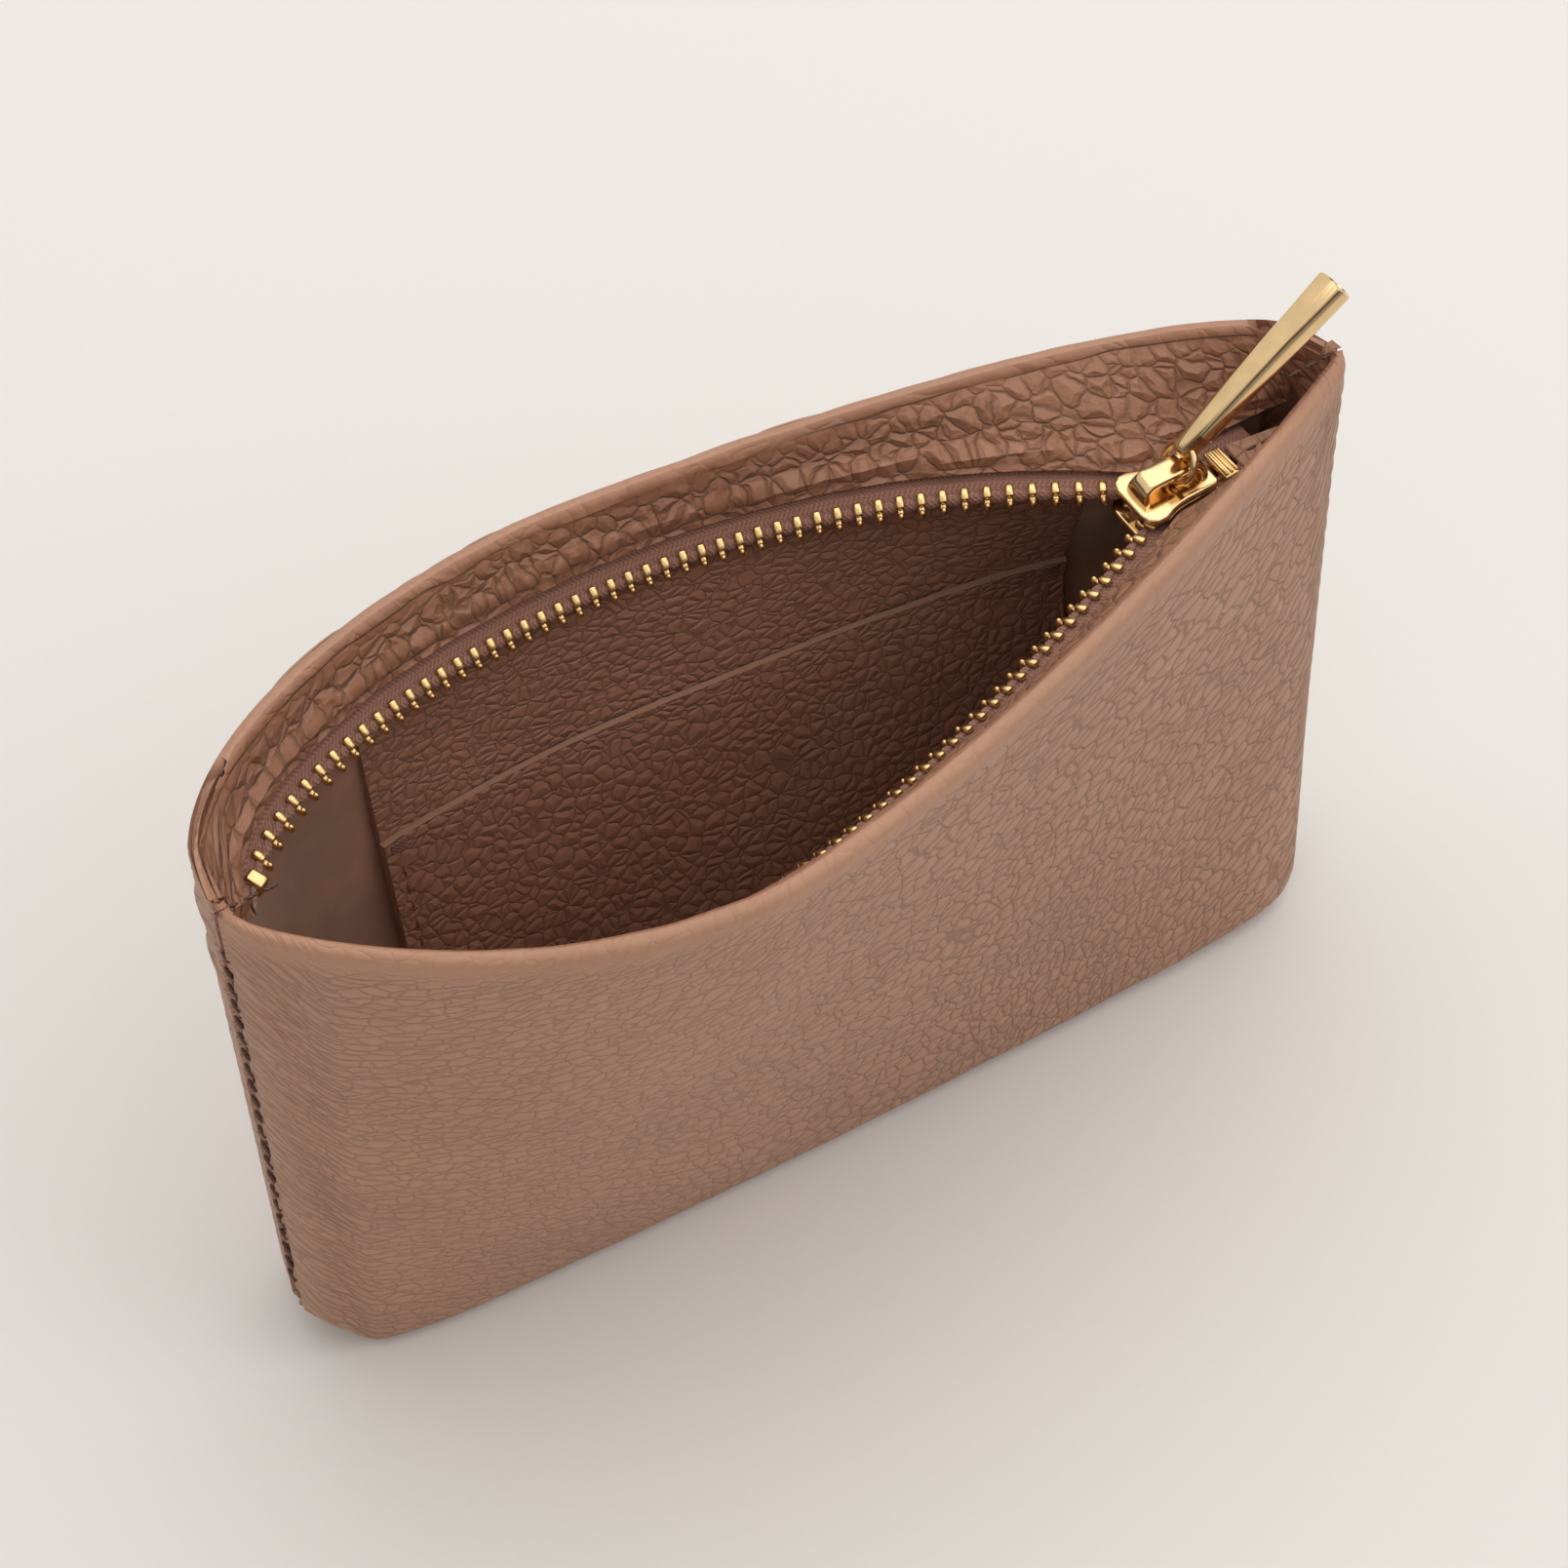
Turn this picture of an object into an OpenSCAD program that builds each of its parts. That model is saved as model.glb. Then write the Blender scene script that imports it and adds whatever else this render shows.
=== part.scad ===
// Open zippered pouch in pebbled leather.
// +X runs along the zipper towards its open end, +Y to the back wall, +Z up, origin on the floor.
// The mouth is held open, so the lips bow apart between the two side seams.

/* [Body] */
// Half length of the mouth, from the middle to a side seam
mouth_half = 80.5; // [78:0.5:84]
// Height of the lip when the mouth is closed
lip_height = 96.5; // [94:0.5:100]
// Half length of the base
base_half = 78.5; // [77:0.5:80]
// Half width of the boxed base
base_half_width = 11.6; // [10:0.2:13]
// Extra half width of the base at its middle
base_swell = 1.7; // [0:0.1:2.5]
// Turn of the base against the mouth line, in degrees
base_turn = -2.7; // [-4:0.1:0]
// Radius of the folded lower edge
fold_radius = 3.5; // [3:0.1:4.5]
// Height at which a side seam ends above the boxed base
seam_foot = 9; // [8:0.5:11]

/* [Mouth] */
// How far the front lip stands out at its widest place
front_belly = 31.2; // [28:0.2:33]
// How far the back lip stands out at its widest place
back_belly = 33; // [30:0.2:35]
// Where the front lip is widest
front_belly_x = -24; // [-28:1:-18]
// Where the back lip is widest
back_belly_x = -21; // [-26:1:-16]
// Drop of the lip at its widest place
lip_dip = 2.3; // [1.5:0.1:3]

/* [Leather] */
// Thickness of the outer leather
leather = 1.1; // [0.9:0.05:1.2]
// Thickness of the suede lining
lining = 0.6; // [0.4:0.05:0.7]
// Thickness of each pocket ply
ply = 1; // [0.8:0.05:1.1]
// Half the distance between the two leather layers of the rolled lip
lip_half = 0.85; // [0.75:0.05:0.95]

/* [Zipper] */
// Height of the closed row of teeth
zip_height = 84; // [83:0.5:85]
// Distance between teeth of one row
tooth_pitch = 2.5; // [2.3:0.05:2.8]
// Number of teeth in each row
tooth_count = 53; // [50:1:54]
// Place of the first tooth, beside the bottom stop
first_tooth = 60.7; // [60:0.1:61]
// Travel of the slider
travel = 118; // [110:1:119]
// Place of the slider's middle at rest
slider_x = 54.6; // [54:0.1:55]
// Tilt of the tape at the widest place, in degrees
tape_tilt = 40; // [20:1:45]

/* [Pull] */
// Length of the pull bar
pull_length = 29.5; // [26:0.5:31]
// Rise of the pull bar above the horizontal, in degrees
pull_rise = 38.5; // [36:0.5:45]
// Lean of the ring away from the vertical, in degrees
ring_lean = 27; // [20:1:30]

/* [Pocket] */
// Half length of the card pocket
pocket_half = 50; // [46:1:52]
// Height of the slot's edge
slot_height = 65.5; // [62:0.5:68]
// Height of the pocket's foot
pocket_foot = 22; // [18:1:30]

/* [Hidden] */

tan_leather = [0.66, 0.49, 0.40];
dark_leather = [0.52, 0.37, 0.29];
suede = [0.60, 0.40, 0.28];
thread = [0.38, 0.23, 0.17];
woven = [0.56, 0.40, 0.34];
gold = [0.86, 0.68, 0.38];

front = -1;
back = 1;
stations = 22;          // columns each side of the widest place
lip_gap = 1.45;         // lip's middle to the mouth line at a side seam
row_gap = 0.9;          // middle of a tooth to the mouth line when meshed
row_open_end = 53.5;    // where the open rows meet inside the slider
row_left_end = -75;
tooth_long = 3;
tooth_thick = 1.05;
tooth_high = 2.4;
tape_thick = 0.5;
tape_tuck = 1.05;       // least length of tape behind the facing's lower edge
tape_up = 2.4;          // how far the tape runs up behind the facing
tape_shows = 3.6;       // from a tooth's middle to the facing's lower edge
layer_gap = 0.15;       // air between layers that are sewn together
stitch_rise = 2.6;      // from the facing's lower edge to its stitching
stitch_r = 0.28;
seam_air = 0.06;        // each panel's edge to the plane between the two panels
lining_air = 0.5;       // air between a panel and its lining
lining_drop = 1.9;      // tape's middle to the lining's top edge, clear of the teeth
ply_drop = 3.2;         // how far below the lip line the back ply stops short of the lining
lining_reach = 69;      // half length of the lining, clear of the side seams
lining_inset = leather / 2 + lining / 2 + lining_air;
hang_share = 0.62;      // height share at which the lining leaves the wall
ply_inset = 2.9;        // wall's middle surface to the back ply's
stitch_sink = 0.1;      // how far a stitch is pulled into the leather
front_ply_inset = ply_inset + ply + 0.65;
plate_in = 1.5;         // inside face of a slider plate, from the row's middle
plate_out = 2.6;        // outside face of a slider plate

// ---- Plan curves -----------------------------------------------------

// Falls from 1 at the middle to 0 at the end of a bowed edge.
function bow(t, p, q) = pow(max(0, 1 - pow(min(1, abs(t)), p)), q);

function smooth(t) = let (s = min(1, max(0, t))) s * s * (3 - 2 * s);

function belly_x(side) = side == front ? front_belly_x : back_belly_x;

// Share of the lip's opening at x.
function lip_share(side, x) =
    let (mid = belly_x(side))
    let (t = x < mid ? (mid - x) / (mouth_half + mid) : (x - mid) / (mouth_half - mid))
    side == front
        ? (x < mid ? bow(t, 1.9, 0.85) : bow(t, 1.5, 1))
        : (x < mid ? bow(t, 2, 0.5) : bow(t, 1.25, 0.5));

// Share of the tooth row's opening at x.
function row_share(side, x) =
    let (mid = belly_x(side))
    let (t = x < mid ? (mid - x) / (mid - row_left_end) : (x - mid) / (row_open_end - mid))
    side == front
        ? (x < mid ? bow(t, 1.9, 0.85) : bow(t, 1.5, 1))
        : (x < mid ? bow(t, 2, 0.5) : bow(t, 2.2, 1));

function lip_y(side, x) =
    let (wide = side == front ? front_belly : back_belly)
    lip_gap + (wide - lip_gap) * lip_share(side, x);

function lip_z(side, x) = lip_height - lip_dip * lip_share(side, x);

function row_y(side, x) =
    let (wide = side == front ? front_belly - 7 : back_belly - 6.2)
    row_gap + (wide - row_gap) * row_share(side, x);

function row_z(side, x) = zip_height - 1.7 * row_share(side, x);

function tilt(side, x) = tape_tilt * row_share(side, x);

// Half width of the base at x, in the base's own turned frame, then in the mouth's frame.
function base_y(side, x) =
    let (half = base_half_width + base_swell * cos(90 * min(1, abs(x) / mouth_half)))
    let (own = max(lip_gap, half * bow(x / mouth_half, 12, 0.45)))
    let (fade = 1 - smooth((abs(x) - mouth_half + 6) / 6))
    own + side * x * tan(base_turn) * fade;

function base_z(x) = seam_foot * smooth((abs(x) - mouth_half + 8) / 8);
function keel_z(x) = seam_foot * smooth((abs(x) - mouth_half + 18) / 18);

// ---- Sections: [distance from the mouth line, height] ------------------

function mix(a, b, t) = a + (b - a) * t;

// Middle surface of the wall at height share v, between the fold and the lip.
function wall_at(side, x, v) = [
    mix(base_y(side, x), lip_y(side, x) + lip_half, v),
    mix(base_z(x) + fold_radius, lip_z(side, x) - 1.4, v)
];

// Direction from a tooth's middle to the facing, and the direction square to it.
function out_dir(side, x) = [cos(tilt(side, x)), sin(tilt(side, x))];
function up_dir(side, x) = [-sin(tilt(side, x)), cos(tilt(side, x))];
function row_at(side, x) = [row_y(side, x), row_z(side, x)];

function facing_top(side, x) = [lip_y(side, x) - lip_half, lip_z(side, x) - 1.4];

// The facing comes down beside the teeth, and closes in with the lip near the side seams.
function facing_foot(side, x) =
    let (foot = row_at(side, x) + tape_shows * out_dir(side, x)
        + (leather / 2 + tape_thick / 2 + layer_gap) * up_dir(side, x))
    [min(foot[0], facing_top(side, x)[0]), foot[1]];

// One leather panel: half the base, the fold, the wall, the rolled lip and the facing.
function panel_section(side, x) =
    let (half = base_y(side, x))
    let (foot = base_z(x) + leather / 2)
    let (r = min(fold_radius, half * 0.5))
    let (lip = [lip_y(side, x), lip_z(side, x) - 1.4])
    let (top = facing_top(side, x))
    let (bottom = facing_foot(side, x))
    concat(
        [[seam_air, keel_z(x) + leather / 2]],
        [[(half - r) * 0.5, mix(keel_z(x), base_z(x), 0.5) + leather / 2]],
        [for (a = [0:30:90]) [half - r + r * sin(a), foot + r - r * cos(a)]],
        [for (v = [0.2:0.2:1]) wall_at(side, x, v)],
        [for (a = [36:36:144]) lip + lip_half * [cos(a), sin(a)]],
        [for (v = [0:0.25:1]) mix(top, bottom, v)]
    );

// Point on a layer inside the wall: inset from the wall's middle surface up to hang_share,
// then straight to a top edge below the tape. The pocket plies hang parallel to the lining.
function inside_at(side, x, v, inset) =
    let (low = wall_at(side, x, min(v, hang_share)) - [inset, 0])
    let (below = row_at(side, x) - lining_drop * up_dir(side, x))
    let (room = (wall_at(side, x, 0.86)[0] - lining_inset - below[0]) / out_dir(side, x)[0])
    let (edge = below + min(tape_shows + 2, room) * out_dir(side, x))
    let (top = edge - [inset - lining_inset, 0])
    v <= hang_share ? low : mix(low, top, (v - hang_share) / (1 - hang_share));

// The lining follows the wall inside and comes up to the tape.
function lining_section(side, x) =
    let (half = base_y(side, x) - lining_inset)
    let (rise = leather + lining / 2 + lining_air)
    let (foot = base_z(x) + rise)
    let (r = min(fold_radius - 1, half * 0.45))
    concat(
        [[seam_air + 0.3, keel_z(x) + rise]],
        [[(half - r) * 0.5, mix(keel_z(x), base_z(x), 0.5) + rise]],
        [for (a = [0:30:90]) [half - r + r * sin(a), foot + r - r * cos(a)]],
        [for (v = [0.2:0.2:1]) inside_at(side, x, v, lining_inset)]
    );

// Height share of the wall at height z, near enough for the pocket.
function share_at(z) = (z - fold_radius) / (lip_height - 1.4 - fold_radius);

// A pocket ply between two heights; its inset grows by bulge at the pocket's middle.
function ply_section(x, z_low, z_high, inset, bulge) =
    let (out = bulge * (1 - pow(x / pocket_half, 4)))
    [for (k = [0:8])
        inside_at(back, x, share_at(mix(z_low, z_high, k / 8)), inset + out)];

function tape_section(side, x) =
    let (edge = row_at(side, x) + (tooth_long / 2 + 0.05) * out_dir(side, x))
    let (foot = facing_foot(side, x), rise = facing_top(side, x) - foot)
    let (away = [rise[1], -rise[0]] / norm(rise))
    let (gap = leather / 2 + tape_thick / 2 + layer_gap)
    let (reach = (gap + (foot - row_at(side, x)) * away) / (out_dir(side, x) * away))
    let (turn = row_at(side, x) + max(tape_shows + tape_tuck, reach) * out_dir(side, x))
    let (top = turn + tape_up * rise / norm(rise))
    [edge, mix(edge, turn, 0.5), turn, mix(turn, top, 0.5), top];

// ---- Sheets: closed solids swept through sections ----------------------

// The layers draw in a little towards the shorter base.
function place(side, x, s) = [x * mix(base_half / mouth_half, 1, s[1] / lip_height), side * s[0], s[1]];

function normal_at(g, i, j) =
    let (a = g[max(0, i - 1)][j], b = g[min(len(g) - 1, i + 1)][j])
    let (c = g[i][max(0, j - 1)], d = g[i][min(len(g[0]) - 1, j + 1)])
    let (n = cross(b - a, d - c))
    n / norm(n);

// Faces of a solid between two grids of the same size.
function sheet_faces(rows, cols) =
    let (at = function(k, i, j) k * rows * cols + i * cols + j)
    let (quads = concat(
        [for (i = [0:rows - 2], j = [0:cols - 2])
            [at(0, i, j), at(0, i, j + 1), at(0, i + 1, j + 1), at(0, i + 1, j)]],
        [for (i = [0:rows - 2], j = [0:cols - 2])
            [at(1, i, j), at(1, i + 1, j), at(1, i + 1, j + 1), at(1, i, j + 1)]],
        [for (i = [0:rows - 2])
            [at(0, i, 0), at(0, i + 1, 0), at(1, i + 1, 0), at(1, i, 0)]],
        [for (i = [0:rows - 2])
            [at(0, i + 1, cols - 1), at(0, i, cols - 1), at(1, i, cols - 1), at(1, i + 1, cols - 1)]],
        [for (j = [0:cols - 2])
            [at(0, 0, j + 1), at(0, 0, j), at(1, 0, j), at(1, 0, j + 1)]],
        [for (j = [0:cols - 2])
            [at(0, rows - 1, j), at(0, rows - 1, j + 1), at(1, rows - 1, j + 1), at(1, rows - 1, j)]]
    ))
    [for (q = quads, k = [0, 1])
        k == 0 ? [q[0], q[1], q[2]] : [q[0], q[2], q[3]]];

// A sheet of the given thickness about a grid of points.
module sheet(grid, thick) {
    rows = len(grid);
    cols = len(grid[0]);
    outer = [for (i = [0:rows - 1], j = [0:cols - 1])
        grid[i][j] + normal_at(grid, i, j) * thick / 2];
    inner = [for (i = [0:rows - 1], j = [0:cols - 1])
        grid[i][j] - normal_at(grid, i, j) * thick / 2];
    polyhedron(points = concat(outer, inner), faces = sheet_faces(rows, cols), convexity = 8);
}

// Stations crowd towards both ends, where the plan curves turn fastest.
function spread(from, mid, to, n) = concat(
    [for (k = [0:n - 1]) mid - (mid - from) * sin(90 * (n - k) / n)],
    [for (k = [0:n]) mid + (to - mid) * sin(90 * k / n)]
);

module panel(side) {
    xs = spread(-mouth_half, belly_x(side), mouth_half, stations);
    grid = [for (x = xs) [for (s = panel_section(side, x)) place(side, x, s)]];
    sheet(grid, leather);
}

module lining_layer(side) {
    xs = spread(-lining_reach, belly_x(side), lining_reach, stations - 6);
    grid = [for (x = xs) [for (s = lining_section(side, x)) place(side, x, s)]];
    sheet(grid, lining);
}

module tape(side) {
    xs = spread(-73.6, belly_x(side), 70, stations - 4);
    grid = [for (x = xs) [for (s = tape_section(side, x)) place(side, x, s)]];
    sheet(grid, tape_thick);
}

module pocket_layer(z_low, z_high, inset, bulge) {
    grid = [for (k = [-12:12]) let (x = pocket_half * sin(7.5 * k))
        [for (s = ply_section(x, z_low, z_high, inset, bulge)) place(back, x, s)]];
    sheet(grid, ply);
}

// ---- Sewn thread -------------------------------------------------------

// A straight stitch between two points.
module stitch(a, b) {
    d = b - a;
    translate(a)
        rotate([0, acos(d[2] / norm(d)), atan2(d[1], d[0])])
            cylinder(h = norm(d), r = stitch_r, $fn = 16);
}

function on_facing(side, x) =
    let (foot = facing_foot(side, x), rise = facing_top(side, x) - foot)
    let (s = foot + stitch_rise * rise / norm(rise))
    let (square_out = [-rise[1], rise[0]] / norm(rise))
    place(side, x, s + (leather / 2 + stitch_r - stitch_sink) * square_out);

module facing_stitches(side) {
    for (x = [-70:3.2:72]) {
        stitch(on_facing(side, x - 1.15), on_facing(side, x + 1.15));
    }
}

module seam_stitches(end) {
    for (z = [16:3.4:90]) {
        edge = mix(base_half, mouth_half, z / lip_height);
        translate([end * (edge + stitch_r - stitch_sink), 0, z])
            rotate([90 + 12 * end, 0, 0])
                cylinder(h = 1.7, r = stitch_r, center = true, $fn = 16);
    }
}

function on_front_ply(x, z) =
    let (s = inside_at(back, x, share_at(z), front_ply_inset))
    place(back, x, s - [ply / 2 + stitch_r - stitch_sink, 0]);

module pocket_stitch_rows() {
    for (x = [-1, 1] * (pocket_half - 2.2), z = [pocket_foot + 4:3.2:slot_height - 5]) {
        stitch(on_front_ply(x, z - 1.1), on_front_ply(x, z + 1.1));
    }
}

module tack_bars() {
    for (x = [-1, 1] * (pocket_half - 2.2), drop = [0.9:1.1:3.1]) {
        z = slot_height - drop;
        stitch(on_front_ply(x - 1.2, z), on_front_ply(x + 1.2, z));
    }
}

// ---- Zipper ------------------------------------------------------------

// One tooth, along +Y from its head to its clamped root.
module tooth() {
    head = 0.42;
    clamp = tooth_thick / 2;
    neck = -0.4;
    tip = -tooth_long / 2;
    root = tooth_long / 2;
    linear_extrude(tooth_high, center = true)
        polygon([
            [-head, tip], [head, tip], [head, neck], [clamp, neck],
            [clamp, root], [-clamp, root], [-clamp, neck], [-head, neck]
        ]);
}

module on_row(side, x) {
    p = row_at(side, x);
    mirror([0, side == front ? 1 : 0, 0])
        translate([x, p[0], p[1]])
            rotate([tilt(side, x), 0, 0])
                children();
}

// Station of tooth i; the front row sits half a pitch behind the back row.
function tooth_x(side, i) = first_tooth - (i + (side == front ? 0.5 : 0)) * tooth_pitch;

module teeth(side) {
    for (i = [0:tooth_count - 1]) {
        on_row(side, tooth_x(side, i)) tooth();
    }
}

module top_stop(side) {
    on_row(side, tooth_x(side, tooth_count) + 0.3)
        translate([0, -0.3, 0])
            cube([2, tooth_long - 0.8, tooth_high + 0.4], center = true);
}

// Half of the slider plate's outline, from its wide end to its narrow end.
function plate_half() = [
    [-6, 2.6], [-5.6, 3.8], [-4.6, 4.6], [-3.2, 4.6], [-1.8, 4],
    [-0.6, 3.65], [0.6, 3.5], [5.4, 3.45], [6, 2.9]
];

function both_halves(h) = concat(h, [for (k = [len(h) - 1:-1:0]) [h[k][0], -h[k][1]]]);

module plate_outline() {
    polygon(both_halves(plate_half()));
}

// Plan of the channel that the two rows run through.
module channel_outline() {
    polygon(both_halves([[-7, 6.6], [-3.6, 5.2], [-2.6, 4.2], [-0.6, 3.1], [0.6, 2.75], [7, 2.75]]));
}

module slider_plate(z) {
    translate([0, 0, z])
        linear_extrude(plate_out - plate_in)
            plate_outline();
}

module slider_rims() {
    for (z = [-plate_in, 0.5]) {
        translate([0, 0, z])
            linear_extrude(plate_in - 0.5)
                difference() {
                    plate_outline();
                    channel_outline();
                }
    }
}

// The post between the plates that parts the rows.
module slider_post() {
    translate([0, 0, -plate_in])
        linear_extrude(2 * plate_in)
            polygon([[-5.8, 0], [-5, 0.9], [-4.2, 0.6], [-3.4, 0], [-4.2, -0.6], [-5, -0.9]]);
}

// Arch outline from its feet at height 0, with round shoulders.
function arch(half, height, r) = concat(
    [[half, 0]],
    [for (a = [0:15:90]) [half - r + r * cos(a), height - r + r * sin(a)]],
    [for (a = [90:15:180]) [-half + r + r * cos(a), height - r + r * sin(a)]],
    [[-half, 0]]
);

bridge_half = 5.1;
bridge_height = 3.1;
bridge_wide = 3.3;
bridge_thick = 1;
ring_major = 2.6;
ring_wire = 0.5;
ring_foot_z = zip_height + plate_out + ring_wire + 0.2;
ring_foot_x = slider_x + 0.4;
pull_pivot = [
    ring_foot_x + 2 * ring_major * sin(ring_lean), 0,
    ring_foot_z + 2 * ring_major * cos(ring_lean)
];
pull_eye = 1;           // radius of the pull's eye
pull_eye_thick = 2.2;
pull_end_r = 1.75;      // radius at the ring
pull_tip_r = 2.45;      // radius at the free end
pull_facet = 1.75;      // axis to the flat face at the free end

module front_panel() { color(tan_leather) panel(front); }
module back_panel() { color(tan_leather) panel(back); }
module front_lining() { color(suede) lining_layer(front); }
module back_lining() { color(suede) lining_layer(back); }

module pocket_back_ply() {
    color(dark_leather)
        pocket_layer(pocket_foot, lip_height - 1.4 - ply_drop, ply_inset, 0);
}

module pocket_front_ply() {
    color(dark_leather)
        pocket_layer(pocket_foot, slot_height, front_ply_inset, 0.6);
}

module front_facing_stitches() { color(thread) facing_stitches(front); }
module back_facing_stitches() { color(thread) facing_stitches(back); }
module left_seam_stitches() { color(thread) seam_stitches(-1); }
module right_seam_stitches() { color(thread) seam_stitches(1); }
module pocket_side_stitches() { color(thread) pocket_stitch_rows(); }
module pocket_bar_tacks() { color(thread) tack_bars(); }

// A leather tab over the two tape ends, beyond the bottom stop.
module right_end_tab() {
    color(tan_leather)
        translate([65.4, 0, zip_height + tape_thick / 2 + layer_gap])
            linear_extrude(0.9)
                polygon([[0, -2.4], [9, -1.2], [9, 1.2], [0, 2.4]]);
}

module bottom_stop() {
    color(gold)
        translate([63.4, 0, zip_height])
            cube([2.6, 2 * (row_gap + tooth_long / 2), tooth_high + 0.6], center = true);
}

module front_tape() { color(woven) tape(front); }
module back_tape() { color(woven) tape(back); }
module front_teeth() { color(gold) teeth(front); }
module back_teeth() { color(gold) teeth(back); }
module front_top_stop() { color(gold) top_stop(front); }
module back_top_stop() { color(gold) top_stop(back); }

module slider_body() {
    color(gold)
        translate([slider_x, 0, zip_height])
            union() {
                slider_plate(plate_in);
                slider_plate(-plate_out);
                slider_rims();
                slider_post();
            }
}

module slider_bridge() {
    color(gold)
        translate([slider_x, 0, zip_height + plate_out])
            rotate([90, 0, 0])
                linear_extrude(bridge_wide, center = true)
                    difference() {
                        polygon(arch(bridge_half, bridge_height, 2.3));
                        polygon(arch(bridge_half - bridge_thick, bridge_height - bridge_thick, 1.4));
                    }
}

module pull_ring() {
    color(gold)
        translate([ring_foot_x, 0, ring_foot_z])
            rotate([0, ring_lean, 0])
                translate([0, 0, ring_major])
                    rotate([0, 90, 0])
                        rotate_extrude($fn = 64)
                            translate([ring_major, 0])
                                circle(r = ring_wire, $fn = 24);
}

// The bar lies along +Z from its eye, with its flat face towards -X.
module bar_shape() {
    eye_end = 1.6;
    shoulder = 2.2;
    edge = 0.3;
    difference() {
        rotate_extrude($fn = 64)
            polygon([
                [0, -eye_end], [0.8, -eye_end], [1.4, -eye_end + 0.4], [pull_end_r, -0.6],
                [pull_tip_r, pull_length - 2.2 - edge], [pull_tip_r - edge, pull_length - 2.2],
                [0, pull_length - 2.2]
            ]);
        for (m = [0, 1]) {
            mirror([0, m, 0])
                translate([-5, pull_eye_thick / 2, -5])
                    cube([10, 5, 5 + shoulder]);
        }
        rotate([90, 0, 0])
            cylinder(h = 10, r = pull_eye, center = true, $fn = 48);
        translate([-pull_facet - 5, -5, 4])
            cube([5, 10, pull_length]);
    }
}

module pull_bar() {
    color(gold)
        translate(pull_pivot)
            rotate([0, 90 - pull_rise, 0])
                bar_shape();
}

front_panel();
back_panel();
front_lining();
back_lining();
pocket_back_ply();
pocket_front_ply();
front_facing_stitches();
back_facing_stitches();
left_seam_stitches();
right_seam_stitches();
pocket_side_stitches();
pocket_bar_tacks();
right_end_tab();
bottom_stop();
front_tape();
front_teeth();
front_top_stop();
back_tape();
back_teeth();
back_top_stop();
slider_body();
slider_bridge();
pull_ring();
pull_bar();
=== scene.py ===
from math import atan2, cos, degrees, exp, hypot, pi, radians, sin, tan

import bmesh
import bpy
from mathutils import Matrix, Vector, noise


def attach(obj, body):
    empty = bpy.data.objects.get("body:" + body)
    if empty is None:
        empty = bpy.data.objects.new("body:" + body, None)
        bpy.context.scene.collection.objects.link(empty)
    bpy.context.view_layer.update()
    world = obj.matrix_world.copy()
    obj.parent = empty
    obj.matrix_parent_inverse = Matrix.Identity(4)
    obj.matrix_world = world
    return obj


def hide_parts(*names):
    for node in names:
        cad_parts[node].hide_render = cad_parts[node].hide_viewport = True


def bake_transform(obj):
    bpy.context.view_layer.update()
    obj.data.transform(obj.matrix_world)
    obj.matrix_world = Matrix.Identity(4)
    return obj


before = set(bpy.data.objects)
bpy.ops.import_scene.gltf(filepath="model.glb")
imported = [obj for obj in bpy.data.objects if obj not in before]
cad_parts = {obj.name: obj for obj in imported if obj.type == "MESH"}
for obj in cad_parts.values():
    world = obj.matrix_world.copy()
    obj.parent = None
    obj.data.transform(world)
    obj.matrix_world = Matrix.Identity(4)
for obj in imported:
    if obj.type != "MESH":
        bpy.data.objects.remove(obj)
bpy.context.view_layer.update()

bl_info = {
    "name": "Zippered leather pouch",
    "version": (1, 0, 0),
    "blender": (4, 5, 0),
    "location": "View3D > Sidebar > Pouch",
    "description": "Builds an open zippered pouch in pebbled leather around its frame",
    "category": "Add Mesh",
}

# Lengths below are in millimetres; MM brings a finished shape to metres.
MM = 0.001
LEFT, RIGHT = -1, 1

# ---- The pouch's plan, as the frame has it ---------------------------------

MOUTH_HALF = 80.5
LIP_HEIGHT = 96.5
LIP_DIP = 2.3
LIP_HALF = 0.85          # half the distance between the two layers of the lip
LIP_GAP = 1.45           # lip's middle to the mouth line at a side seam
BASE_HALF = 78.5
BASE_HALF_WIDTH = 11.6
BASE_SWELL = 1.7
BASE_TURN = -2.7         # degrees
FOLD_RADIUS = 3.5
SEAM_FOOT = 9.0          # height at which a side seam ends
ZIP_HEIGHT = 84.0
ZIP_DIP = 1.7
ROW_GAP = 0.9            # tooth's middle to the mouth line when closed
ROW_LEFT_END = -75.0
ROW_OPEN_END = 53.5
TAPE_TILT = 40.0
TAPE_SHOWS = 3.6         # tooth's middle to the facing's lower edge
TAPE_THICK = 0.5
LAYER_GAP = 0.05
LINING_AIR = 0.35
HANG_SHARE = 0.62        # height share at which the lining leaves the wall
TOOTH_PITCH = 2.5
TOOTH_COUNT = 53
FIRST_TOOTH = 60.7
TOOTH_LONG = 3.0
SLIDER_X = 54.6
PLATE_IN, PLATE_OUT = 1.5, 2.6
POCKET_HALF = 50.0
POCKET_FOOT = 22.0
SLOT_HEIGHT = 65.5
PLY_INSET = 2.25


def bow(t, p, q):
    """Falls from 1 at the middle to 0 at the end of a bowed edge."""
    return max(0.0, 1.0 - min(1.0, abs(t)) ** p) ** q


def smooth(t):
    t = min(1.0, max(0.0, t))
    return t * t * (3.0 - 2.0 * t)


def mix(a, b, t):
    return a + (b - a) * t


def bump_at(d, width):
    """1 at distance 0, falling away over width."""
    return exp(-(d / width) ** 2)


def base_z(x):
    return SEAM_FOOT * smooth((abs(x) - MOUTH_HALF + 8) / 8)


def keel_z(x):
    return SEAM_FOOT * smooth((abs(x) - MOUTH_HALF + 18) / 18)


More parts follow.
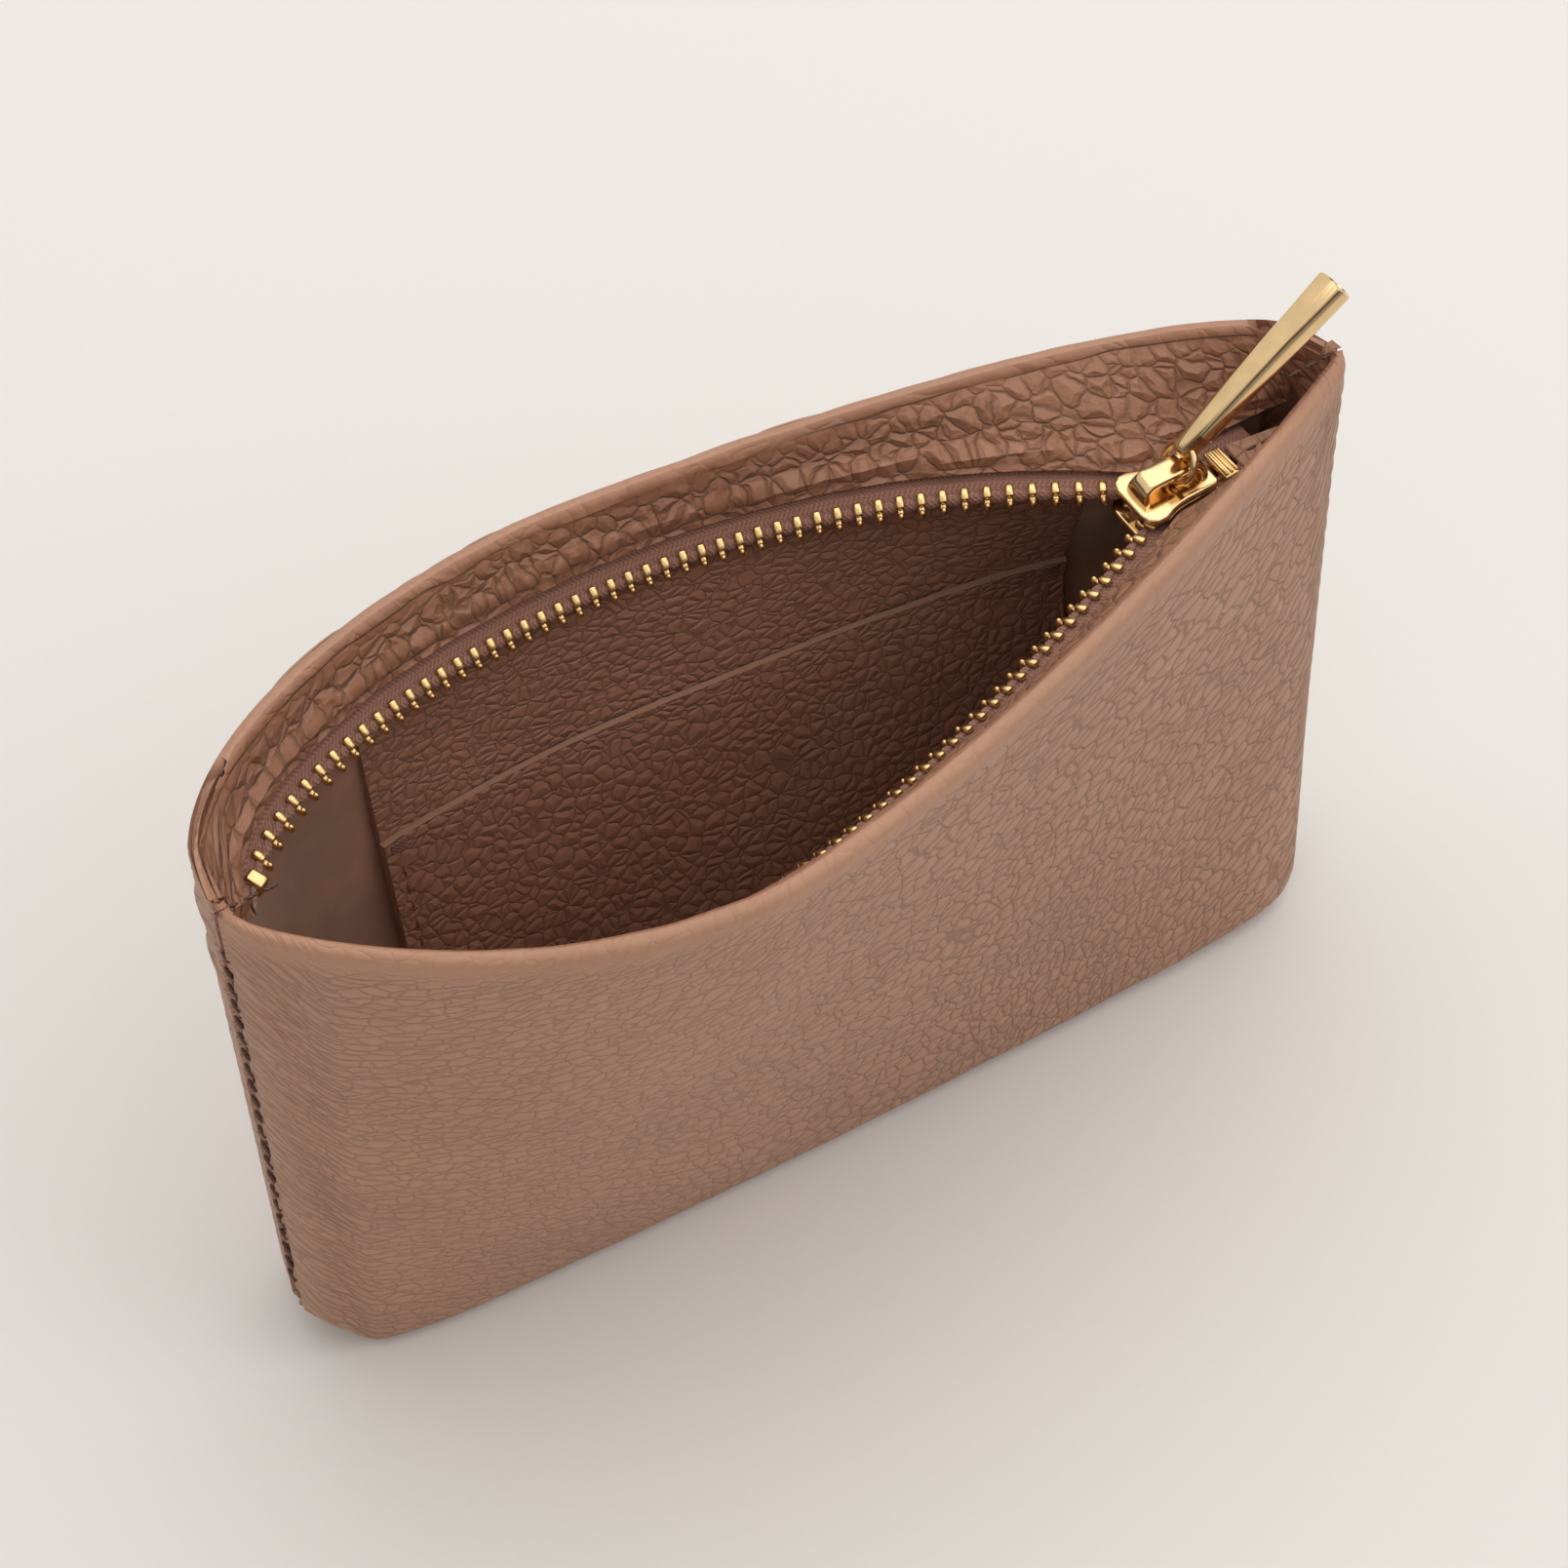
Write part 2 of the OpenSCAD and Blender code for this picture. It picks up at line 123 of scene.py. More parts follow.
class Side:
    """One long side of the pouch. Sections are (distance from the mouth line, height)."""

    def __init__(self, name, sign, belly, belly_x, row_step, lip_bows, row_bows, closing):
        self.name = name
        self.sign = sign
        self.belly = belly
        self.belly_x = belly_x
        self.row_step = row_step
        self.lip_bows = lip_bows
        self.row_bows = row_bows
        self.closing = closing

    def share(self, x, bows, left_end, right_end):
        if x < self.belly_x:
            return bow((self.belly_x - x) / (self.belly_x - left_end), *bows[0])
        return bow((x - self.belly_x) / (right_end - self.belly_x), *bows[1])

    def lip_share(self, x):
        return self.share(x, self.lip_bows, -MOUTH_HALF, MOUTH_HALF)

    def row_share(self, x):
        return self.share(x, self.row_bows, ROW_LEFT_END, ROW_OPEN_END)

    def lip(self, x):
        share = self.lip_share(x)
        return Vector((mix(LIP_GAP, self.belly, share), LIP_HEIGHT - LIP_DIP * share - 1.4))

    def row(self, x):
        share = self.row_share(x)
        return Vector((mix(ROW_GAP, self.belly - self.row_step, share), ZIP_HEIGHT - ZIP_DIP * share))

    def tilt(self, x):
        return radians(TAPE_TILT) * self.row_share(x)

    def out_dir(self, x):
        return Vector((cos(self.tilt(x)), sin(self.tilt(x))))

    def up_dir(self, x):
        return Vector((-sin(self.tilt(x)), cos(self.tilt(x))))

    def base_y(self, x):
        half = BASE_HALF_WIDTH + BASE_SWELL * cos(pi / 2 * min(1, abs(x) / MOUTH_HALF))
        own = max(LIP_GAP, half * bow(x / MOUTH_HALF, 12, 0.45))
        fade = 1 - smooth((abs(x) - MOUTH_HALF + 6) / 6)
        return own + self.sign * x * tan(radians(BASE_TURN)) * fade

    def wall(self, x, v):
        low = Vector((self.base_y(x), base_z(x) + FOLD_RADIUS))
        return low.lerp(self.lip(x) + Vector((LIP_HALF, 0)), v)

    def facing_top(self, x):
        return self.lip(x) - Vector((LIP_HALF, 0))

    def facing_foot(self, x):
        rise = LEATHER / 2 + TAPE_THICK / 2 + LAYER_GAP
        foot = self.row(x) + TAPE_SHOWS * self.out_dir(x) + rise * self.up_dir(x)
        return Vector((min(foot.x, self.facing_top(x).x), foot.y))

    def inside(self, x, v, inset, drop):
        """A layer inside the wall: along it up to HANG_SHARE, then straight to the tape."""
        low = self.wall(x, min(v, HANG_SHARE)) - Vector((inset, 0))
        if v <= HANG_SHARE:
            return low
        below = self.row(x) - drop * self.up_dir(x)
        room = (self.wall(x, 0.86).x - inset - below.x) / self.out_dir(x).x
        top = below + min(TAPE_SHOWS + 2, room) * self.out_dir(x)
        return low.lerp(top, (v - HANG_SHARE) / (1 - HANG_SHARE))

    def fold(self, x, r, half, foot, start, end, steps):
        """Points round the folded lower edge, from start to end degrees off straight down."""
        turns = [radians(mix(start, end, k / steps)) for k in range(steps + 1)]
        return [Vector((half - r + r * sin(a), foot + r - r * cos(a))) for a in turns]

    def place(self, x, point):
        """The layers draw in a little towards the shorter base."""
        shrink = mix(BASE_HALF / MOUTH_HALF, 1, point[1] / LIP_HEIGHT)
        return Vector((x * shrink, self.sign * point[0], point[1]))


LEATHER, LINING, PLY = 1.1, 0.6, 1.0

FRONT = Side(
    "front", -1, 31.2, -24.0, 7.0,
    lip_bows=((1.9, 0.85), (1.5, 1.0)), row_bows=((1.9, 0.85), (1.5, 1.0)),
    closing={"out": 0.01627322, LEFT: 0.00777377, RIGHT: 0.00581267, "middle": 0.57637393},
)
BACK = Side(
    "back", 1, 33.0, -21.0, 6.2,
    lip_bows=((2, 0.5), (1.25, 0.5)), row_bows=((2, 0.5), (2.2, 1.0)),
    closing={"out": 0.01613879, LEFT: 0.00677999, RIGHT: 0.00563803, "middle": 0.58337085},
)
SIDES = (FRONT, BACK)


# ---- How a piece is finished and stands in for the frame's parts -----------


WALL_SLACK = 0.11        # passed to two_halves as its slack


def join_to_side(piece):
    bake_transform(piece)


def station_of(point):
    """Station along the mouth of a point that place() has drawn in."""
    return point.x / mix(BASE_HALF / MOUTH_HALF, 1, point.z / LIP_HEIGHT)


def mark_sharp(bm, angle):
    """Edges that turn more than angle degrees stay crisp."""
    for edge in bm.edges:
        if edge.is_manifold:
            edge.smooth = edge.calc_face_angle(0) < radians(angle)
    for face in bm.faces:
        face.smooth = True


def new_piece(name, bm, *finishes):
    """A mesh object in metres, at the origin, from a shape in millimetres."""
    mesh = bpy.data.meshes.new(name)
    bmesh.ops.scale(bm, vec=(MM, MM, MM), verts=bm.verts)
    bm.to_mesh(mesh)
    bm.free()
    for finish in finishes:
        mesh.materials.append(finish)
    piece = bpy.data.objects.new(name, mesh)
    bpy.context.scene.collection.objects.link(piece)
    return piece


def standing_for(piece, slot, *nodes):
    if nodes:
        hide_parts(*nodes)
    return piece


def two_halves(name, bm, side, slot, nodes, *finishes, slack=0.0):
    """Cuts one side's layer at its widest place into two halves.
    Both halves keep the whole layer's shading, so the cut doesn't show."""
    mark_sharp(bm, 40)
    number = bm.faces.layers.int.new("number")
    bm.faces.index_update()
    for face in bm.faces:
        face[number] = face.index
    whole = bpy.data.meshes.new(name + "_whole")
    bm.to_mesh(whole)
    corners = [Vector(c.vector) for c in whole.corner_normals]
    starts = [p.loop_start for p in whole.polygons]
    pieces = []
    for half, word in ((LEFT, "left"), (RIGHT, "right")):
        part = bm.copy()
        level = part.faces.layers.int["number"]
        cut = side.belly_x
        away = [f for f in part.faces if (station_of(f.calc_center_median()) < cut) != (half == LEFT)]
        bmesh.ops.delete(part, geom=away, context="FACES")
        rim = [e for e in part.edges if e.is_boundary]
        caps = bmesh.ops.holes_fill(part, edges=rim, sides=0)["faces"]
        for cap in caps:
            cap[level] = -1
            for edge in cap.edges:
                edge.smooth = False
        bmesh.ops.triangulate(part, faces=caps)
        shading = []
        for face in part.faces:
            first = starts[face[level]] if face[level] >= 0 else None
            for k in range(len(face.loops)):
                shading.append(corners[first + k] if first is not None else (0, 0, 0))
        piece = new_piece(f"{name}_{word}", part, *finishes)
        piece.data.normals_split_custom_set(shading)
        join_to_side(piece)
        pieces.append(standing_for(piece, slot, *nodes))
    bpy.data.meshes.remove(whole)
    bm.free()
    return pieces


def laid_grid(table, outward=None):
    """A grid with a corner at each point of the table, facing the way that outward asks."""
    columns, rows = len(table) - 1, len(table[0]) - 1
    bm = bmesh.new()
    bmesh.ops.create_grid(bm, x_segments=columns, y_segments=rows, size=0.5)
    column = bm.verts.layers.int.new("column")
    row = bm.verts.layers.int.new("row")
    for vert in bm.verts:
        vert[column] = round((vert.co.x + 0.5) * columns)
        vert[row] = round((vert.co.y + 0.5) * rows)
        vert.co = table[vert[column]][vert[row]]
    bm.normal_update()
    if outward is not None:
        bm.faces.ensure_lookup_table()
        probe = max(bm.faces, key=lambda f: f.calc_area())
        if probe.normal.dot(outward(probe.calc_center_median())) < 0:
            bmesh.ops.reverse_faces(bm, faces=bm.faces)
            bm.normal_update()
    return bm


def lay_map(bm, name, where):
    """A UV map, in millimetres, from where(column, row)."""
    column = bm.verts.layers.int["column"]
    row = bm.verts.layers.int["row"]
    layer = bm.loops.layers.uv.new(name)
    for face in bm.faces:
        for loop in face.loops:
            loop[layer].uv = where(loop.vert[column], loop.vert[row])


def note_calm(bm, how_much):
    """How far the grain is pressed smooth at each corner, from how_much(column, row)."""
    column = bm.verts.layers.int["column"]
    row = bm.verts.layers.int["row"]
    layer = bm.verts.layers.float.new("grain_height")
    for vert in bm.verts:
        vert[layer] = how_much(vert[column], vert[row])


def along_profile(points):
    """Distance along a profile to each of its points."""
    run = [0.0]
    for a, b in zip(points, points[1:]):
        run.append(run[-1] + (b - a).length)
    return run


def raise_grain_side(bm, relief):
    """Moves each corner out along its normal by relief(column, row)."""
    column = bm.verts.layers.int["column"]
    row = bm.verts.layers.int["row"]
    moves = [(v, v.normal * relief(v[column], v[row])) for v in bm.verts]
    for vert, move in moves:
        vert.co += move
    bm.normal_update()


def thicken(bm, thickness):
    """Gives a laid grid its wall. Where a fold is tighter than the wall, the inner skin is held close."""
    column = bm.verts.layers.int["column"]
    row = bm.verts.layers.int["row"]
    grain = {(v[column], v[row]): v.co.copy() for v in bm.verts}
    count = len(bm.verts)
    bmesh.ops.solidify(bm, geom=bm.faces[:], thickness=thickness)
    bm.verts.ensure_lookup_table()
    for vert in bm.verts[count:]:
        skin = grain[vert[column], vert[row]]
        depth = vert.co - skin
        if depth.length > thickness * 1.2:
            vert.co = skin + depth.normalized() * thickness * 1.2
    bm.normal_update()


def spaced(start, end, step):
    """Numbers from start to end, both kept, close to step apart."""
    count = max(1, round(abs(end - start) / step))
    return [mix(start, end, k / count) for k in range(count + 1)]


def box_in(bm, size, centre, bevel=0.0, segments=2):
    """A block with rounded edges."""
    made = bmesh.ops.create_cube(bm, size=1)["verts"]
    bmesh.ops.scale(bm, vec=size, verts=made)
    bmesh.ops.translate(bm, vec=centre, verts=made)
    if bevel:
        edges = list({e for v in made for e in v.link_edges})
        faces = bmesh.ops.bevel(
            bm, geom=edges, offset=bevel, offset_type="OFFSET", affect="EDGES",
            segments=segments, profile=0.5, material=-1,
        )["faces"]
        made = list({v for f in faces for v in f.verts} | {v for v in made if v.is_valid})
    return made


def stitch_in(bm, start, end, radius, sink=0.0, normal=Vector((0, 0, 1))):
    """One stitch: a fat thread between two holes, with tapered ends."""
    start, end = Vector(start), Vector(end)
    along = end - start
    made = bmesh.ops.create_uvsphere(bm, u_segments=8, v_segments=6, radius=1)["verts"]
    for vert in made:
        fat = 1.0 if vert.co.z == 0 else abs(vert.co.z) ** 0.75 / abs(vert.co.z)
        vert.co.z *= fat
    turn = along.to_track_quat("Z", "Y").to_matrix().to_4x4()
    size = Matrix.Diagonal((radius, radius, along.length / 2, 1))
    centre = Matrix.Translation((start + end) / 2 - normal * sink)
    bmesh.ops.transform(bm, matrix=centre @ turn @ size, verts=made)
    return made


# ---- Finishes --------------------------------------------------------------


class Finish:
    """A material and the nodes that make its surface."""

    def __init__(self, name):
        self.material = bpy.data.materials.new(name)
        self.material.use_nodes = True
        self.tree = self.material.node_tree
        self.shader = self.tree.nodes["Principled BSDF"]

    def node(self, kind, inputs=None, **settings):
        made = self.tree.nodes.new(kind)
        for name, value in settings.items():
            setattr(made, name, value)
        for key, value in (inputs or {}).items():
            if isinstance(value, bpy.types.NodeSocket):
                self.tree.links.new(value, made.inputs[key])
            else:
                made.inputs[key].default_value = value
        return made

    def maths(self, operation, a, b=0.0, c=0.0):
        made = self.node("ShaderNodeMath", {0: a, 1: b, 2: c}, operation=operation)
        return made.outputs[0]

    def vector(self, operation, a, b):
        made = self.node("ShaderNodeVectorMath", {0: a, 1: b}, operation=operation)
        return made.outputs["Value" if operation == "DOT_PRODUCT" else "Vector"]

    def millimetres(self, stretch=(1, 1, 1), turn=(0, 0, 0)):
        """The piece's own coordinates, in millimetres."""
        own = self.node("ShaderNodeTexCoord").outputs["Object"]
        scale = tuple(1000 * s for s in stretch)
        made = self.node("ShaderNodeMapping", {"Vector": own, "Rotation": turn, "Scale": scale})
        return made.outputs[0]

    def noise(self, where, scale, detail=2.0, rough=0.5, colour=False):
        made = self.node(
            "ShaderNodeTexNoise", {"Vector": where, "Scale": scale, "Detail": detail, "Roughness": rough})
        return made.outputs["Color" if colour else "Fac"]

    def cells(self, where, size, feature):
        return self.node(
            "ShaderNodeTexVoronoi", {"Vector": where, "Scale": 1 / size}, feature=feature)

    def span(self, value, low, high, to_low=0.0, to_high=1.0, kind="SMOOTHSTEP"):
        made = self.node(
            "ShaderNodeMapRange",
            {"Value": value, "From Min": low, "From Max": high, "To Min": to_low, "To Max": to_high},
            interpolation_type=kind,
        )
        return made.outputs[0]

    def blend(self, share, a, b, kind="MIX"):
        made = self.node("ShaderNodeMix", data_type="RGBA", blend_type=kind)
        for socket, value in ((made.inputs[0], share), (made.inputs[6], a), (made.inputs[7], b)):
            if isinstance(value, bpy.types.NodeSocket):
                self.tree.links.new(value, socket)
            else:
                socket.default_value = value
        return made.outputs[2]

    def bump(self, height, depth, strength=1.0, under=None):
        inputs = {"Height": height, "Distance": depth * MM, "Strength": strength}
        if under is not None:
            inputs["Normal"] = under
        return self.node("ShaderNodeBump", inputs).outputs[0]

    def wear(self, **sockets):
        """Sets the shader's sockets, from numbers, colours or other nodes."""
        for name, value in sockets.items():
            socket = self.shader.inputs[name.replace("_", " ")]
            if isinstance(value, bpy.types.NodeSocket):
                self.tree.links.new(value, socket)
            else:
                socket.default_value = value
        return self.material


def opaque(colour, share=1.0):
    return tuple(min(1.0, c * share) for c in colour[:3]) + (1.0,)


def pebbled_finish(name, colour, cell, depth, puff, lean_share, crease_painted_shade, rough):
    """Full-grain leather: pebbles that swell between fine creases, each a little tilted. The creases are painted
    darker, as painted shade.
    """
    f = Finish(name)
    own = f.node("ShaderNodeUVMap", uv_map="grain").outputs[0]
    kept = f.node("ShaderNodeAttribute", attribute_name="grain_height").outputs["Fac"]
    drift = f.vector("SUBTRACT", f.noise(own, 0.3, 2.0, colour=True), (0.5, 0.5, 0.5))
    bent = f.vector("ADD", own, f.vector("MULTIPLY", drift, (0.9 * cell, 0.9 * cell, 0)))
    edge = f.cells(bent, cell, "DISTANCE_TO_EDGE").outputs["Distance"]
    pebble = f.cells(bent, cell, "F1")
    fine_edge = f.cells(bent, cell * 0.45, "DISTANCE_TO_EDGE").outputs["Distance"]
    patch = f.span(f.noise(own, 0.13, 1.0), 0.4, 0.62)
    crease = f.span(edge, 0.0, 0.09)
    pillow = f.span(edge, 0.0, 0.46)
    fine = f.span(fine_edge, 0.0, 0.09)
    fine = f.maths("MULTIPLY_ADD", f.maths("SUBTRACT", fine, 1.0), f.maths("MULTIPLY", patch, 0.25), 1.0)
    lean = f.vector("SUBTRACT", pebble.outputs["Color"], (0.5, 0.5, 0.5))
    reach = f.vector("SUBTRACT", bent, pebble.outputs["Position"])
    tilted = f.maths("MULTIPLY", f.vector("DOT_PRODUCT", lean, reach), lean_share / cell)
    pores = f.maths("MULTIPLY", f.noise(own, 4.5, 3.0, 0.6), 0.1)
    height = f.maths("MULTIPLY_ADD", pillow, puff, f.maths("ADD", tilted, pores))
    height = f.maths("MULTIPLY_ADD", crease, 0.3, height)
    height = f.maths("MULTIPLY_ADD", fine, 0.16, height)
    height = f.maths("MULTIPLY", height, kept)
    # The crease mask sets painted shade in the colour and a rougher gloss in the creases.
    lines = f.maths("MULTIPLY", crease, fine)
    lines = f.maths("MULTIPLY_ADD", f.maths("SUBTRACT", lines, 1.0), kept, 1.0)
    tone = f.noise(own, 0.04, 3.0)
    ground = f.blend(f.span(tone, 0.3, 0.7), opaque(colour, 0.96), opaque(colour, 1.05))
    flecked = f.blend(f.maths("MULTIPLY", f.noise(own, 1.6, 2.0), 0.12), ground, opaque(colour, 0.82))
    # Painted shade: the colour is darkened in the creases.
    shaded = f.blend(f.span(lines, 0.0, 0.8), opaque(colour, crease_painted_shade), flecked)
    return f.wear(
        Base_Color=shaded,
        Roughness=f.span(lines, 0.0, 1.0, rough + 0.14, rough),
        Normal=f.bump(height, depth),
        Specular_IOR_Level=0.45,
        Sheen_Weight=0.05,
        Sheen_Roughness=0.5,
    )


def suede_finish(name, colour):
    """Short nap: cloudy, brushed two ways, with a soft sheen."""
    f = Finish(name)
    where = f.millimetres()
    nap = f.noise(where, 6.0, 4.0, 0.7)
    cloud = f.noise(where, 0.12, 3.0, 0.6)
    ground = f.blend(f.span(cloud, 0.35, 0.65), opaque(colour, 0.84), opaque(colour, 1.12))
    shaded = f.blend(f.maths("MULTIPLY", nap, 0.35), ground, opaque(colour, 0.62))
    return f.wear(
        Base_Color=shaded, Roughness=0.9, Normal=f.bump(nap, 0.12, 0.7),
        Specular_IOR_Level=0.2, Sheen_Weight=0.35, Sheen_Roughness=0.6,
    )


def raw_edge_finish(name, colour):
    """The cut edge of leather: pale, fibrous and dry."""
    f = Finish(name)
    where = f.millimetres((1, 1, 3))
    fibre = f.noise(where, 3.0, 4.0, 0.7)
    shaded = f.blend(fibre, opaque(colour, 0.78), opaque(colour, 1.15))
    return f.wear(Base_Color=shaded, Roughness=0.85, Normal=f.bump(fibre, 0.1, 0.6))


def woven_finish(name, colour):
    """Herringbone tape: slanting yarns that turn about every 1.1 mm across its width."""
    f = Finish(name)
    own = f.node("ShaderNodeUVMap", uv_map="weave").outputs[0]
    parts = f.node("ShaderNodeSeparateXYZ", {0: own})
    across = f.maths("PINGPONG", parts.outputs["Y"], 1.1)
    slant = f.maths("ADD", parts.outputs["X"], f.maths("MULTIPLY", across, 0.8))
    yarn = f.maths("MULTIPLY_ADD", f.maths("SINE", f.maths("MULTIPLY", slant, 2 * pi / 0.62)), 0.5, 0.5)
    rib = f.maths("MULTIPLY_ADD", f.maths("SINE", f.maths("MULTIPLY", across, 2 * pi / 0.55)), 0.5, 0.5)
    cloth = f.maths("MULTIPLY_ADD", yarn, 0.7, f.maths("MULTIPLY", rib, 0.3))
    fuzz = f.noise(f.millimetres(), 7.0, 3.0, 0.7)
    height = f.maths("MULTIPLY_ADD", fuzz, 0.25, cloth)
    # Painted shade and highlight: the colour follows the weave's relief, darker in the hollows between yarns and
    # lighter on their crests.
    shaded = f.blend(cloth, opaque(colour, 0.55), opaque(colour, 1.15))
    shaded = f.blend(f.maths("MULTIPLY", fuzz, 0.3), shaded, opaque(colour, 0.8))
    return f.wear(
        Base_Color=shaded, Roughness=0.8, Normal=f.bump(height, 0.16, 0.9),
        Sheen_Weight=0.25, Sheen_Roughness=0.5, Specular_IOR_Level=0.3,
    )


def thread_finish(name, colour):
    """Twisted waxed thread."""
    f = Finish(name)
    where = f.millimetres()
    twist = f.node(
        "ShaderNodeTexWave", {"Vector": where, "Scale": 0.9, "Distortion": 1.5, "Detail": 1.0},
        wave_type="BANDS", bands_direction="DIAGONAL",
    ).outputs["Fac"]
    # Painted shade and highlight: the colour follows the twist's relief, darker in its grooves and lighter on its
    # ridges.
    shaded = f.blend(twist, opaque(colour, 0.7), opaque(colour, 1.25))
    return f.wear(Base_Color=shaded, Roughness=0.55, Normal=f.bump(twist, 0.08, 0.8))


def gold_finish(name, colour, rough, scuff):
    """Plated metal: slightly clouded, with faint wear in the polish."""
    f = Finish(name)
    where = f.millimetres()
    cloud = f.noise(where, 0.35, 3.0, 0.6)
    brush = f.noise(f.millimetres((1, 6, 6)), 2.2, 2.0, 0.6)
    shaded = f.blend(f.span(cloud, 0.3, 0.7), opaque(colour, 0.93), opaque(colour, 1.04))
    gloss = f.maths("MULTIPLY_ADD", cloud, rough * 0.6, rough * 0.7)
    return f.wear(
        Base_Color=shaded, Metallic=1.0, Roughness=gloss, Normal=f.bump(brush, scuff, 0.35),
    )


FINISHES = {}
FACING_PAINTED_SHADE = (0.8, 0.7, 0.64)     # the facing, inside the mouth, is painted darker than the walls, as painted shade


def mix_finishes(colours):
    """Every finish of the pouch, from the colours in the sidebar."""
    # Painted shade: the facing takes the leather's colour darkened, for the shade inside the mouth.
    facing_shaded_colour = [c * share for c, share in zip(colours.leather, FACING_PAINTED_SHADE)]
    FINISHES.update(
        # In each leather, the number before the last is the colour share left in the creases, as painted shade.
        shell=pebbled_finish("pebbled_leather", colours.leather, 2.3, 0.5, 0.6, 0.2, 0.7, 0.46),
        facing=pebbled_finish("facing_leather", facing_shaded_colour, 2.7, 0.6, 1.0, 0.1, 0.72, 0.42),
        pocket=pebbled_finish("pocket_leather", colours.pocket, 2.1, 0.3, 0.8, 0.08, 0.7, 0.46),
        suede=suede_finish("suede", colours.suede),
        edge=raw_edge_finish("raw_edge", colours.raw_edge),
        tape=woven_finish("zip_tape", colours.tape),
        thread=thread_finish("thread", colours.thread),
        tonal_thread=thread_finish("tonal_thread", colours.tonal_thread),
        gold=gold_finish("gold_metal", colours.gold, 0.13, 0.01),
        teeth=gold_finish("gold_teeth", colours.teeth, 0.24, 0.03),
    )


# ---- Settings --------------------------------------------------------------


def colour_setting(name, description, default):
    return bpy.props.FloatVectorProperty(
        name=name, description=description, default=default, size=3, min=0, max=1, subtype="COLOR")


def length_setting(name, description, default_mm, low_mm, high_mm):
    return bpy.props.FloatProperty(
        name=name, description=description, default=default_mm * MM, min=low_mm * MM, max=high_mm * MM,
        precision=5, unit="LENGTH")


class PouchColours(bpy.types.PropertyGroup):
    leather: colour_setting("Leather", "Grain side of the outer leather", (0.452, 0.235, 0.145))
    pocket: colour_setting("Pocket", "Grain side of the card pocket", (0.33, 0.155, 0.095))
    suede: colour_setting("Suede", "Lining's nap", (0.34, 0.15, 0.075))
    raw_edge: colour_setting("Raw edge", "Cut edge of the pocket's slot", (0.34, 0.185, 0.115))
    tape: colour_setting("Tape", "Woven zipper tape", (0.34, 0.16, 0.11))
    thread: colour_setting("Seam thread", "Thread of the side seams", (0.10, 0.042, 0.026))
    tonal_thread: colour_setting("Facing thread", "Thread along the facing", (0.19, 0.085, 0.055))
    gold: colour_setting("Gold", "Slider, ring and pull", (0.80, 0.57, 0.30))
    teeth: colour_setting("Teeth", "Teeth and stops", (0.80, 0.55, 0.25))


class PouchSizes(bpy.types.PropertyGroup):
    cell: length_setting("Weave step", "Spacing of the grid that a leather layer is laid on", 1.0, 0.6, 4)
    stitch: length_setting("Stitch", "Length of a stitch on the facing", 2.3, 1.5, 2.8)
    thread: length_setting("Thread", "Radius of the thread on the facing", 0.26, 0.15, 0.3)
    pucker: length_setting("Pucker", "How far a seam draws the leather in", 0.3, 0, 0.8)
    lens: bpy.props.FloatProperty(
        name="Lens", description="Focal length of the camera, in millimetres", default=100, min=50, max=200)


def sizes():
    return bpy.context.scene.pouch_sizes


# ---- Stage -----------------------------------------------------------------

CAMERA_TURN = radians(-33.02)
CAMERA_RISE = radians(51.94)
CAMERA_ROLL = radians(-0.19)
CAMERA_AIM = Vector((5.4, 13.5, 45)) * MM
CAMERA_DISTANCE = 0.5741


